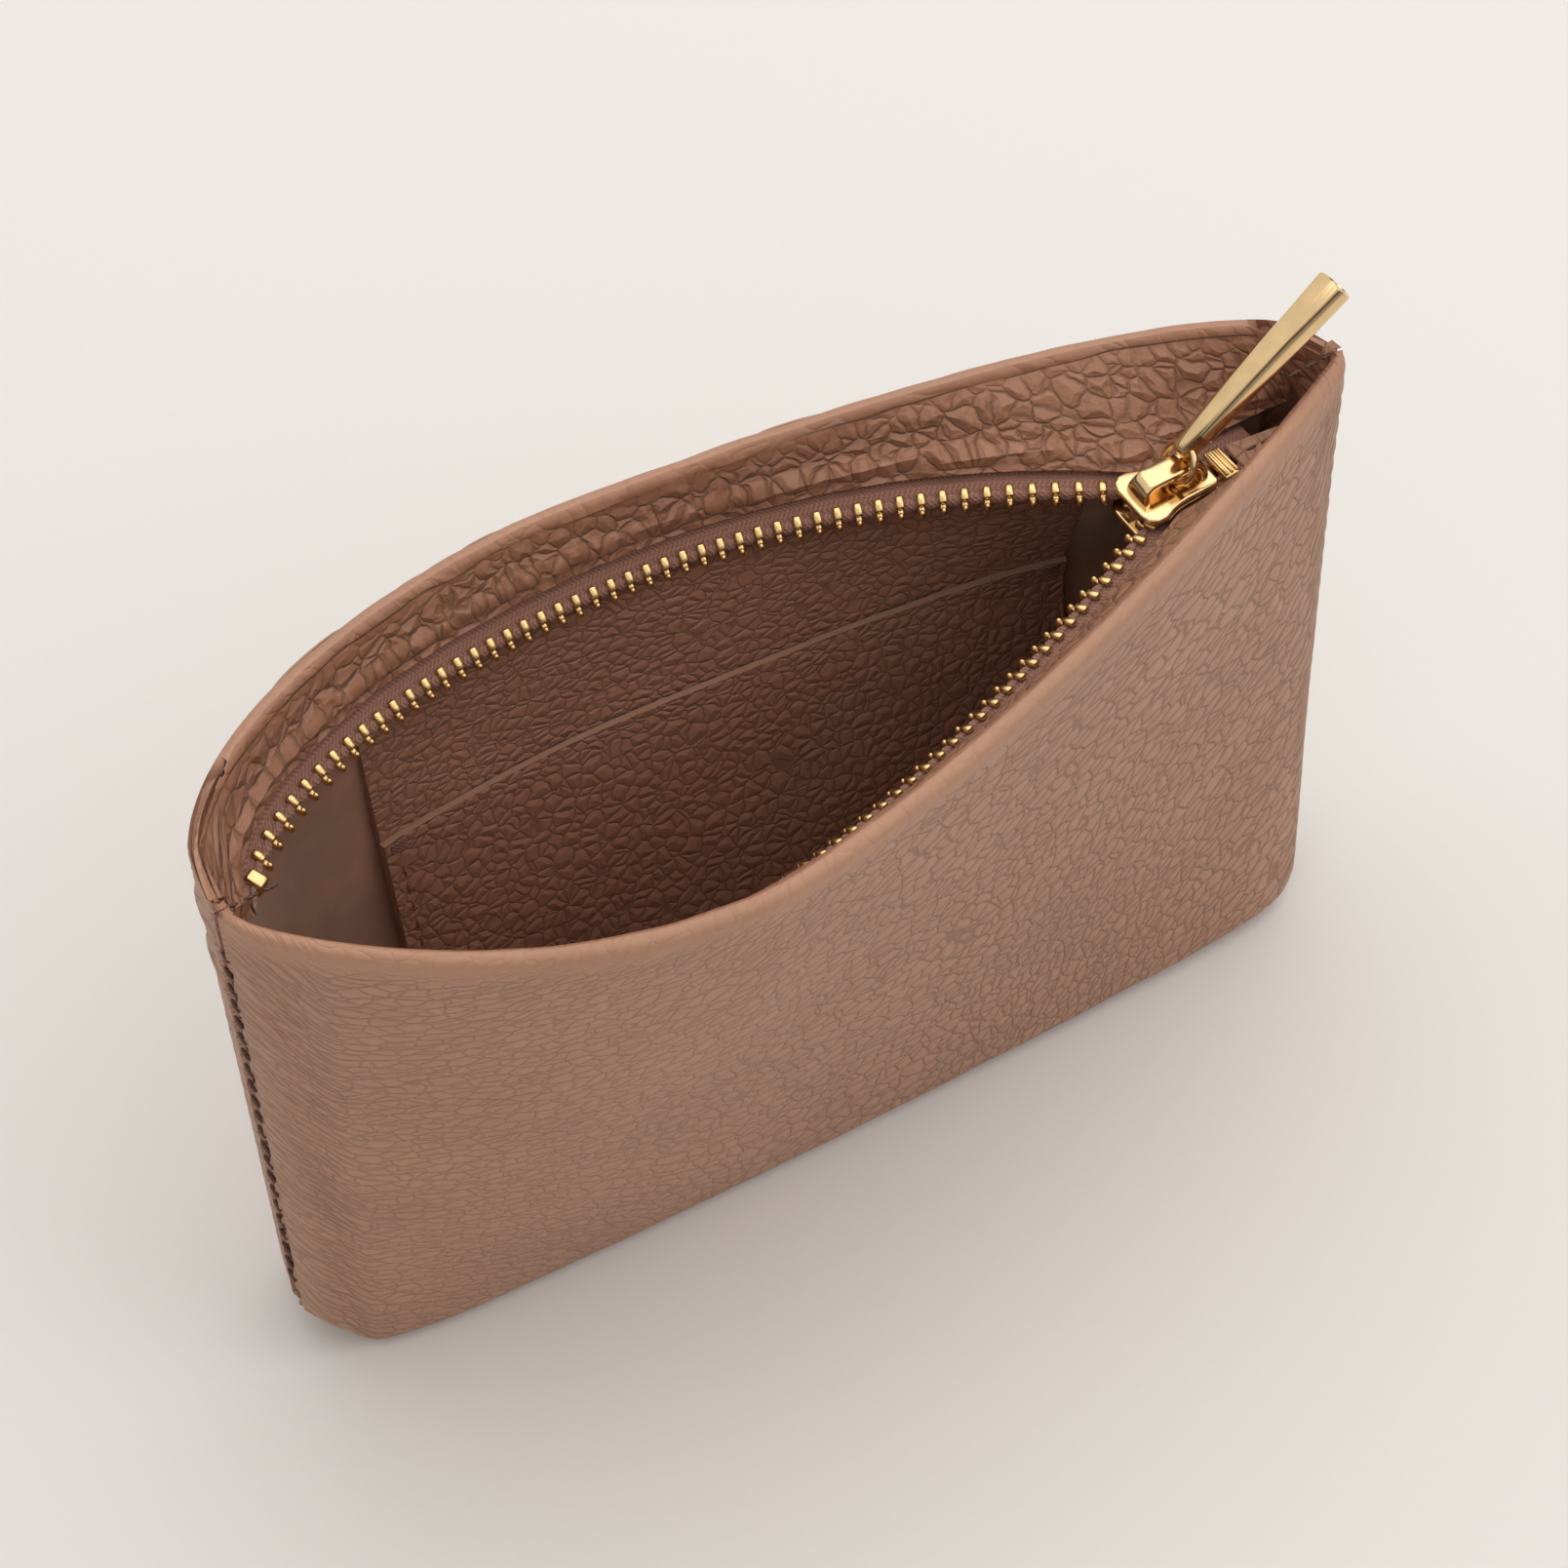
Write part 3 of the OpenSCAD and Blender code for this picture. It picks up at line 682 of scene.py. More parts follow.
class POUCH_OT_stage(bpy.types.Operator):
    """Makes the camera, the lights, the pale floor and every finish"""

    bl_idname = "pouch.stage"
    bl_label = "Stage"

    def execute(self, context):
        scene = context.scene
        scene.view_settings.view_transform = "Standard"
        mix_finishes(scene.pouch_colours)
        self.camera(scene)
        self.floor(scene)
        self.lights(scene)
        return {"FINISHED"}

    def camera(self, scene):
        data = bpy.data.cameras.new("camera")
        data.lens = sizes().lens
        data.sensor_width = 36
        data.clip_start = 0.01
        back = Vector((
            sin(CAMERA_TURN) * cos(CAMERA_RISE), -cos(CAMERA_TURN) * cos(CAMERA_RISE), sin(CAMERA_RISE)))
        level = Vector((0, 0, 1)).cross(back).normalized()
        above = back.cross(level)
        right = level * cos(CAMERA_ROLL) + above * sin(CAMERA_ROLL)
        up = back.cross(right)
        camera = bpy.data.objects.new("camera", data)
        turn = Matrix((right, up, back)).transposed().to_4x4()
        camera.matrix_world = Matrix.Translation(CAMERA_AIM + back * CAMERA_DISTANCE) @ turn
        scene.collection.objects.link(camera)
        scene.camera = camera

    def floor(self, scene):
        bm = bmesh.new()
        bmesh.ops.create_grid(bm, x_segments=8, y_segments=8, size=3000)
        f = Finish("floor_paper")
        tooth = f.noise(f.millimetres(), 0.9, 3.0, 0.6)
        shaded = f.blend(tooth, (0.79, 0.765, 0.735, 1), (0.81, 0.785, 0.755, 1))
        f.wear(Base_Color=shaded, Roughness=0.95, Specular_IOR_Level=0.1)
        new_piece("floor", bm, f.material)

    def lights(self, scene):
        world = bpy.data.worlds.new("studio")
        world.use_nodes = True
        tree = world.node_tree
        sky = tree.nodes["Background"]
        where = tree.nodes.new("ShaderNodeTexCoord")
        parts = tree.nodes.new("ShaderNodeSeparateXYZ")
        ramp = tree.nodes.new("ShaderNodeValToRGB")
        tree.links.new(where.outputs["Generated"], parts.inputs[0])
        tree.links.new(parts.outputs["Z"], ramp.inputs["Fac"])
        tree.links.new(ramp.outputs["Color"], sky.inputs["Color"])
        ramp.color_ramp.elements[0].position = 0.0
        ramp.color_ramp.elements[0].color = (0.42, 0.41, 0.40, 1)
        for place, grey in ((0.2, 0.42), (0.28, 0.08), (0.4, 0.1), (0.48, 0.85)):
            ramp.color_ramp.elements.new(place).color = (grey, grey * 0.98, grey * 0.96, 1)
        ramp.color_ramp.elements[-1].position = 0.75
        ramp.color_ramp.elements[-1].color = (1.0, 0.985, 0.965, 1)
        sky.inputs["Strength"].default_value = 0.92
        scene.world = world
        for name, place, size, watts in (
            ("overhead", (0.3, 0.35, 1.1), 1.3, 5.0),
            ("fill", (0.75, -0.7, 0.85), 1.0, 2.6),
        ):
            data = bpy.data.lights.new(name, "AREA")
            data.shape = "SQUARE"
            data.size = size
            data.energy = watts
            data.color = (1.0, 0.985, 0.965)
            light = bpy.data.objects.new(name, data)
            light.location = place
            light.rotation_euler = (-Vector(place)).to_track_quat("-Z", "Y").to_euler()
            scene.collection.objects.link(light)


# ---- Leather shell ---------------------------------------------------------

SEAM_ROUND = 2.3         # length over which a panel rounds in to its side seam
SEAM_INSIDE = 0.62       # mid-surface to the seam's plane once it has turned in
EXTRA_FOLD = 25.0        # degrees of fold that the base keeps under each wall


def panel_columns(side, step):
    """(station, squeeze, draw-in) of each column, with the turned-in edge at both ends."""
    reach = MOUTH_HALF - SEAM_ROUND
    middle = [(x, 1.0, 0.0) for x in spaced(-reach, side.belly_x, step)]
    middle += [(x, 1.0, 0.0) for x in spaced(side.belly_x, reach, step)[1:]]
    ends = []
    for a in (15, 30, 45, 60, 75, 90):
        ends.append((reach + SEAM_ROUND * sin(radians(a)), cos(radians(a)), 0.0))
    ends += [(MOUTH_HALF, 0.0, 0.5), (MOUTH_HALF, 0.0, 1.3)]
    left = [(-x, squeeze, -draw) for x, squeeze, draw in reversed(ends)]
    return left + middle + ends


def panel_profile(side, x, step):
    """Mid-surface of a wall, its rolled lip and its facing, with what each point belongs to."""
    half = side.base_y(x)
    foot = base_z(x) + LEATHER / 2
    r = min(FOLD_RADIUS, half * 0.5)
    lip = side.lip(x)
    crest = lip + Vector((LIP_HALF, 0))
    lean = degrees(atan2(crest.x - half, crest.y - foot - r))
    fold = side.fold(x, r, half, foot, 0, 90 - lean, 8)
    wall_steps = round(92 / step)
    wall = [fold[-1].lerp(crest, k / wall_steps) for k in range(1, wall_steps + 1)]
    roll = [lip + LIP_HALF * Vector((cos(a), sin(a))) for a in (pi * k / 10 for k in range(1, 10))]
    top, bottom = side.facing_top(x), side.facing_foot(x)
    facing_steps = 14
    facing = [top.lerp(bottom, k / facing_steps) for k in range(facing_steps + 1)]
    points = fold + wall + roll + facing
    parts = ["fold"] * len(fold) + ["wall"] * len(wall) + ["lip"] * len(roll) + ["facing"] * len(facing)
    return points, parts


def seam_pucker(x, z, depth):
    """The stitched side seam draws the leather in between its threads, and tucks it near the top."""
    inward = MOUTH_HALF - abs(x)
    ripple = depth * 0.55 * sin(2 * pi * z / 3.4) * exp(-inward / 2.4)
    tuck = 0.0
    if x < 0:
        for tuck_z, tuck_long, tuck_deep in ((86.5, 7.0, 1.7), (77.5, 5.0, 1.0)):
            slope = tuck_z - inward * 0.12
            tuck -= depth * tuck_deep * bump_at(z - slope, 0.75) * bump_at(inward - 1.5, tuck_long * 0.6)
            tuck += depth * 0.8 * bump_at(z - slope - 1.6, 1.1) * bump_at(inward - 1.5, tuck_long * 0.6)
    return ripple + tuck


def panel_relief(side, x, point, part, depth):
    """How far the grain side stands off its even surface."""
    z = point.y
    calm = smooth((MOUTH_HALF - abs(x)) / 14)
    if part == "wall":
        low = smooth((z - 4) / 12)
        high = smooth((LIP_HEIGHT - 2 - z) / 14)
        slow = noise.noise(Vector((x / 34, z / 26, side.sign * 3.1))) * 0.9
        quick = noise.noise(Vector((x / 9, z / 7 + 5, side.sign * 1.7))) * 0.16
        across = noise.noise(Vector((x / 15 + 9, z / 3.2, side.sign * 2.3))) * 0.14
        fold_over = 0.5 * bump_at(x - 12 - (z - 50) * 0.55, 9) * smooth((z - 20) / 30) * side.lip_share(x)
        return (slow * low * high + quick + across * (1 - smooth((x + 60) / 50)) * low) * calm \
            - fold_over * calm * high + seam_pucker(x, z, depth)
    if part == "facing":
        foot = side.facing_foot(x)
        up = (point - foot).length
        ripple = 1 + 0.35 * sin(2 * pi * x / 3.2)
        stitch = -1.5 * depth * bump_at(up - 2.6, 0.6) * ripple
        swell = 0.3 * bump_at(up - 1.2, 0.9) + 0.35 * smooth((up - 2.6) / 2) * smooth((8.5 - up) / 3)
        wave = noise.noise(Vector((x / 6, up / 5, side.sign * 4.4))) * 0.2
        return (stitch + swell + wave) * smooth((MOUTH_HALF - abs(x)) / 6)
    if part == "lip":
        return noise.noise(Vector((x / 5, point.y / 3, side.sign * 6.6))) * 0.14 * calm
    return noise.noise(Vector((x / 8, 2.0, side.sign * 1.1))) * 0.12 * calm


class POUCH_OT_leather_shell(bpy.types.Operator):
    """Makes the boxed base and both walls with their rolled lips and facings"""

    bl_idname = "pouch.leather_shell"
    bl_label = "Leather shell"

    def execute(self, context):
        step = sizes().cell / MM
        depth = sizes().pucker / MM
        for side in SIDES:
            self.wall(side, step, depth)
        self.base(step, depth)
        return {"FINISHED"}

    def wall(self, side, step, depth):
        columns = panel_columns(side, step)
        profiles = [panel_profile(side, x, step) for x, _, _ in columns]
        table = []
        for (x, squeeze, draw), (points, _) in zip(columns, profiles):
            drawn = [Vector((min(p.x, max(SEAM_INSIDE, p.x * squeeze)), p.y)) for p in points]
            table.append([side.place(x, p) - Vector((draw, 0, 0)) for p in drawn])

        def relief(column, row):
            x = columns[column][0]
            points, parts = profiles[column]
            return LEATHER / 2 + panel_relief(side, x, points[row], parts[row], depth) * columns[column][1]

        bm = laid_grid(table, lambda point: Vector((0, side.sign, 0)))
        runs = [along_profile(points) for points, _ in profiles]
        parts = profiles[0][1]

        def grain_at(column, row):
            x, run = columns[column][0], runs[column][row]
            if parts[row] == "facing":
                return x, run
            flat = 1 - smooth((x + 74) / 62)
            slant = smooth((x - 5) / 60) * 0.55
            return x * 0.86 - slant * (run - 60), run + flat * 0.75 * (run - 55)

        def grain_height(column, row):
            x, run = columns[column][0], runs[column][row]
            if parts[row] == "facing":
                below_lip = run - runs[column][parts.index("facing")]
                return mix(0.3, 1.0, smooth(below_lip / 2.5))
            if parts[row] == "lip":
                return 0.3
            below_lip = runs[column][parts.index("lip")] - run
            return mix(0.3, 1.0, smooth((below_lip - 0.5) / 4.0)) * mix(0.75, 1.0, smooth((x + 40) / 60))

        lay_map(bm, "grain", grain_at)
        note_calm(bm, grain_height)
        row_of = bm.verts.layers.int["row"]
        # Faces from partway round the lip inward take the facing finish, which carries painted shade.
        first_facing = parts.index("lip") + 5
        for face in bm.faces:
            if min(v[row_of] for v in face.verts) >= first_facing:
                face.material_index = 1
        raise_grain_side(bm, relief)
        thicken(bm, LEATHER)
        two_halves(
            side.name + "_wall", bm, side, "pebbled_leather", [side.name + "_panel"],
            FINISHES["shell"], FINISHES["facing"], slack=WALL_SLACK)

    def base(self, step, depth):
        """The flat bottom, with the start of each fold kept just inside the walls."""
        table = []
        for x in spaced(-MOUTH_HALF + 0.2, MOUTH_HALF - 0.2, step):
            centre = Vector((0, 0, keel_z(x) + LEATHER / 2 - self.gusset(x) * depth))
            rows = [centre]
            halves = {}
            for side in SIDES:
                half = side.base_y(x)
                r = min(FOLD_RADIUS, half * 0.5)
                foot = base_z(x) + LEATHER / 2
                flat = [
                    Vector((mix(0, half - r, k / 12), mix(keel_z(x) + LEATHER / 2, foot, smooth(k / 12))))
                    for k in range(1, 13)
                ]
                fold = side.fold(x, r, half, foot, 0, EXTRA_FOLD, 4)[1:]
                inner = Vector((half - r, foot + r))
                fold = [p + (inner - p).normalized() * 0.1 for p in fold]
                halves[side.sign] = flat + fold
            rows = list(reversed(halves[-1])) + [Vector((0, keel_z(x) + LEATHER / 2))] + halves[1]
            signs = [-1] * len(halves[-1]) + [1] * (len(halves[1]) + 1)
            table.append([
                BACK.place(x, p) if sign > 0 else FRONT.place(x, p) for p, sign in zip(rows, signs)])
        bm = laid_grid(table, lambda point: Vector((0, 0, -1)))
        stations = spaced(-MOUTH_HALF + 0.2, MOUTH_HALF - 0.2, step)
        middle = (len(table[0]) - 1) / 2

        def relief(column, row):
            x = stations[column]
            off = abs(row - middle)
            return LEATHER / 2 - self.gusset(x) * depth * bump_at(off, 1.2)

        lay_map(bm, "grain", lambda column, row: (stations[column], row - middle))
        note_calm(bm, lambda column, row: 0.9)
        raise_grain_side(bm, relief)
        thicken(bm, LEATHER)
        mark_sharp(bm, 40)
        piece = new_piece("base", bm, FINISHES["shell"])
        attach(piece, "shell")
        standing_for(piece, "pebbled_leather", "front_panel", "back_panel")

    def gusset(self, x):
        """Strength of the sewn line up the middle of each boxed end."""
        return smooth((abs(x) - 60) / 8)


# ---- Lining and pocket -----------------------------------------------------


class POUCH_OT_lining(bpy.types.Operator):
    """Makes the suede lining, as two walls and a bottom"""

    bl_idname = "pouch.lining"
    bl_label = "Lining"

    inset = LEATHER / 2 + LINING / 2 + LINING_AIR
    rise = LEATHER + LINING / 2 + LINING_AIR
    reach = 75.0

    def execute(self, context):
        for side in SIDES:
            self.wall(side)
        self.bottom()
        return {"FINISHED"}

    def fold_sizes(self, side, x):
        half = side.base_y(x) - self.inset
        return half, base_z(x) + self.rise, min(FOLD_RADIUS - 1, half * 0.45)

    def wall(self, side):
        drop = (LINING + TAPE_THICK) / 2 + LAYER_GAP
        xs = spaced(-self.reach, side.belly_x, 1.6) + spaced(side.belly_x, self.reach, 1.6)[1:]
        table = []
        for x in xs:
            half, foot, r = self.fold_sizes(side, x)
            fold = side.fold(x, r, half, foot, 0, 90, 6)
            hang = [side.inside(x, mix(0.06, 1, k / 48), self.inset, drop) for k in range(49)]
            table.append([side.place(x, p) for p in fold + hang])
        bm = laid_grid(table, lambda point: Vector((0, -side.sign, 0)))

        def relief(column, row):
            x = xs[column]
            calm = smooth((self.reach - abs(x)) / 10) * smooth(row / 12) * smooth((54 - row) / 8)
            return LINING / 2 + calm * 0.5 * noise.noise(Vector((x / 17, row / 9, side.sign * 2.0)))

        raise_grain_side(bm, relief)
        thicken(bm, LINING)
        two_halves(
            side.name + "_lining", bm, side, "suede", [side.name + "_lining"],
            FINISHES["suede"], slack=WALL_SLACK)

    def bottom(self):
        table = []
        for x in spaced(-self.reach, self.reach, 2.0):
            rows = []
            for side in SIDES:
                half, foot, r = self.fold_sizes(side, x)
                flat = [
                    Vector((mix(0.0, half - r, k / 6), mix(keel_z(x) + self.rise, foot, smooth(k / 6))))
                    for k in range(0 if side is BACK else 1, 7)
                ]
                inner = Vector((half - r, foot + r))
                fold = [
                    p + (inner - p).normalized() * 0.08 for p in side.fold(x, r, half, foot, 0, EXTRA_FOLD, 3)[1:]]
                row = [side.place(x, p) for p in flat + fold]
                rows = list(reversed(row)) if side is FRONT else rows + row
            table.append(rows)
        bm = laid_grid(table, lambda point: Vector((0, 0, 1)))
        raise_grain_side(bm, lambda column, row: LINING / 2)
        thicken(bm, LINING)
        mark_sharp(bm, 40)
        piece = new_piece("lining_bottom", bm, FINISHES["suede"])
        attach(piece, "shell")
        standing_for(piece, "suede", "front_lining", "back_lining")


def share_at(z):
    """Height share of the back wall at height z, near enough for the pocket."""
    return (z - FOLD_RADIUS) / (LIP_HEIGHT - 1.4 - FOLD_RADIUS)


class POUCH_OT_pocket(bpy.types.Operator):
    """Makes the card pocket: two plies, with the front ply's cut edge at the slot"""

    bl_idname = "pouch.pocket"
    bl_label = "Card pocket"

    drop = 1.5

    def execute(self, context):
        self.ply("pocket_back_ply", LIP_HEIGHT - 1.4, PLY_INSET, 0.0)
        self.ply("pocket_front_ply", SLOT_HEIGHT, PLY_INSET + PLY + LAYER_GAP, 0.6)
        return {"FINISHED"}

    def ply(self, name, top, inset, bulge):
        xs = spaced(-POCKET_HALF, BACK.belly_x, 1.3) + spaced(BACK.belly_x, POCKET_HALF, 1.3)[1:]
        rows = round((top - POCKET_FOOT) / 1.3)
        table = []
        for x in xs:
            out = inset + bulge * (1 - (x / POCKET_HALF) ** 4)
            heights = [mix(POCKET_FOOT, top, k / rows) for k in range(rows + 1)]
            table.append([BACK.place(x, BACK.inside(x, share_at(z), out, self.drop)) for z in heights])
        bm = laid_grid(table, lambda point: Vector((0, -1, 0)))

        def relief(column, row):
            x = xs[column]
            z = mix(POCKET_FOOT, top, row / rows)
            calm = smooth((POCKET_HALF - abs(x)) / 8)
            held = 0.25 * bump_at(abs(x) - POCKET_HALF + 2.2, 0.8)
            return PLY / 2 + calm * 0.35 * noise.noise(Vector((x / 15, z / 13, inset))) - held * (bulge > 0)

        lay_map(bm, "grain", lambda column, row: (xs[column], mix(POCKET_FOOT, top, row / rows)))
        note_calm(bm, lambda column, row: 1.0)
        raise_grain_side(bm, relief)
        thicken(bm, PLY)
        for face in bm.faces:
            if abs(face.normal.y) < 0.7 and face.calc_area() < 1.5:
                face.material_index = 1
        two_halves(
            name, bm, BACK, "pocket_leather", [name], FINISHES["pocket"], FINISHES["edge"], slack=WALL_SLACK)


# ---- Sewing ----------------------------------------------------------------


def on_facing(side, x, sink):
    foot = side.facing_foot(x)
    rise = (side.facing_top(x) - foot).normalized()
    square_out = Vector((-rise.y, rise.x))
    return side.place(x, foot + 2.6 * rise + (LEATHER / 2 - sink) * square_out)


def on_front_ply(x, z, sink):
    out = PLY_INSET + PLY + LAYER_GAP
    point = BACK.inside(x, share_at(z), out, 0)
    return BACK.place(x, point - Vector((PLY / 2 - sink, 0)))


class POUCH_OT_sewing(bpy.types.Operator):
    """Sews the facings, the side seams and the pocket"""

    bl_idname = "pouch.sewing"
    bl_label = "Sewing"

    def execute(self, context):
        for side in SIDES:
            self.facing_row(side)
        for end in (LEFT, RIGHT):
            self.side_seam(end)
        self.pocket_rows()
        self.bar_tacks()
        return {"FINISHED"}

    def halves(self, name, side, ends, radius, nodes, slot="thread", finish="thread"):
        """One piece of stitches for each half of a side."""
        for half, word in ((LEFT, "left"), (RIGHT, "right")):
            bm = bmesh.new()
            for start, end in ends:
                if (station_of((start + end) / 2) < side.belly_x) == (half == LEFT):
                    stitch_in(bm, start, end, radius)
            mark_sharp(bm, 80)
            piece = new_piece(f"{name}_{word}", bm, FINISHES[finish])
            join_to_side(piece)
            standing_for(piece, slot, *nodes)

    def facing_row(self, side):
        long, radius = sizes().stitch / MM, sizes().thread / MM
        ends = []
        for k in range(45):
            x = -70 + 3.2 * k
            slant = 0.12 if k % 2 else -0.05
            ends.append((on_facing(side, x - long / 2, 0.12 + slant), on_facing(side, x + long / 2, 0.12 - slant)))
        name = side.name + "_facing_stitches"
        self.halves(name, side, ends, radius, [name], finish="tonal_thread")

    def side_seam(self, end):
        """Threads that cross the drawn-in seam, and the last ones over the lip."""
        bm = bmesh.new()
        for k in range(22):
            z = 16 + 3.4 * k
            edge = end * (mix(BASE_HALF, MOUTH_HALF, z / LIP_HEIGHT) + 0.42)
            stitch_in(bm, (edge, -1.0, z - 0.28), (edge, 1.0, z + 0.28), 0.3)
            stitch_in(bm, (edge - end * 0.35, 0.1, z + 0.3), (edge - end * 0.35, -0.1, z + 3.0), 0.24)
        for k in range(3):
            x = end * (80.0 - 2.6 * k)
            stitch_in(bm, (x, 0, 95.9 - 0.1 * k), (x - end * 2.0, 0, 95.8 - 0.1 * k), 0.28)
        mark_sharp(bm, 80)
        name = ("left" if end == LEFT else "right") + "_seam_stitches"
        piece = new_piece(name + "_sewn", bm, FINISHES["thread"])
        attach(piece, "shell")
        standing_for(piece, "thread", name)

    def pocket_rows(self):
        ends = []
        for x in (-POCKET_HALF + 2.2, POCKET_HALF - 2.2):
            for k in range(11):
                z = POCKET_FOOT + 4 + 3.2 * k
                ends.append((on_front_ply(x, z - 1.1, 0.1), on_front_ply(x, z + 1.1, 0.1)))
        self.halves("pocket_side_row", BACK, ends, 0.26, ["pocket_side_stitches"], finish="tonal_thread")

    def bar_tacks(self):
        ends = []
        for x in (-POCKET_HALF + 2.2, POCKET_HALF - 2.2):
            for k in range(5):
                z = SLOT_HEIGHT - 2.9 + 0.45 * k
                ends.append((on_front_ply(x - 1.4, z, 0.0), on_front_ply(x + 1.4, z + 0.15, 0.0)))
        self.halves("pocket_tack", BACK, ends, 0.24, ["pocket_bar_tacks"], finish="tonal_thread")


# ---- Zipper ----------------------------------------------------------------


def row_slope(side, x):
    """How far the bowed row turns from the mouth line at x."""
    step = 0.8
    ahead, behind = side.row(x + step).x, side.row(x - step).x
    return max(-0.5, min(0.5, atan2(ahead - behind, 2 * step)))


def on_row(side, x):
    """Where a tooth sits: +Y of its own frame runs from its head to its root."""
    place = side.row(x)
    mirror = Matrix.Diagonal((1, side.sign, 1, 1))
    turn = Matrix.Rotation(row_slope(side, x), 4, "Z")
    tilt = Matrix.Rotation(side.tilt(x), 4, "X")
    at = Matrix.Translation((x, place.x, place.y))
    return mirror @ at @ turn @ tilt


class POUCH_OT_tapes(bpy.types.Operator):
    """Weaves the two zipper tapes, each with the corded edge that the teeth are clamped on"""

    bl_idname = "pouch.tapes"
    bl_label = "Zipper tapes"

    def execute(self, context):
        for side in SIDES:
            self.tape(side)
            self.cord(side)
        return {"FINISHED"}

    def section(self, side, x):
        edge = side.row(x) + 0.5 * side.out_dir(x)
        turn = side.row(x) + (TAPE_SHOWS + 1) * side.out_dir(x)
        rise = (side.facing_top(x) - side.facing_foot(x)).normalized()
        flat = [edge.lerp(turn, k / 8) for k in range(9)]
        return flat + [turn + rise * (0.9 * k) for k in range(1, 6)]

    def tape(self, side):
        xs = spaced(-74, side.belly_x, 1.0) + spaced(side.belly_x, 70, 1.0)[1:]
        sections = [self.section(side, x) for x in xs]
        across = [along_profile(points) for points in sections]
        bm = laid_grid(
            [[side.place(x, p) for p in points] for x, points in zip(xs, sections)],
            lambda point: Vector((0, 0, 1)))
        lay_map(bm, "weave", lambda column, row: (xs[column], across[column][row]))
        raise_grain_side(bm, lambda column, row: TAPE_THICK / 2)
        thicken(bm, TAPE_THICK)
        two_halves(side.name + "_tape", bm, side, "zip_tape", [side.name + "_tape"], FINISHES["tape"])

    def cord(self, side):
        """A ribbed cord along the tape's edge, thick enough to show between the teeth."""
        around = 10
        for half, word, reach in ((LEFT, "left", -74), (RIGHT, "right", 66)):
            xs = spaced(side.belly_x, reach, 0.22)
            table = []
            for x in xs:
                centre = side.row(x) + 0.5 * side.out_dir(x)
                between = sin(pi * (x - FIRST_TOOTH + (TOOTH_PITCH / 2 if side is FRONT else 0)) / TOOTH_PITCH)
                radius = 0.5 + 0.36 * between ** 2 + 0.05 * sin(2 * pi * x / 0.5)
                ring = []
                for k in range(around + 1):
                    a = 2 * pi * k / around
                    point = centre + radius * (cos(a) * side.out_dir(x) + sin(a) * side.up_dir(x))
                    ring.append(side.place(x, point))
                table.append(ring)
            bm = laid_grid(table)
            lay_map(bm, "weave", lambda column, row: (xs[column], row * 0.4))
            bmesh.ops.remove_doubles(bm, verts=bm.verts, dist=0.01)
            ends = [e for e in bm.edges if e.is_boundary]
            bmesh.ops.holes_fill(bm, edges=ends, sides=0)
            bmesh.ops.recalc_face_normals(bm, faces=bm.faces)
            mark_sharp(bm, 60)
            piece = new_piece(f"{side.name}_cord_{word}", bm, FINISHES["tape"])
            join_to_side(piece)
            standing_for(piece, "zip_tape")


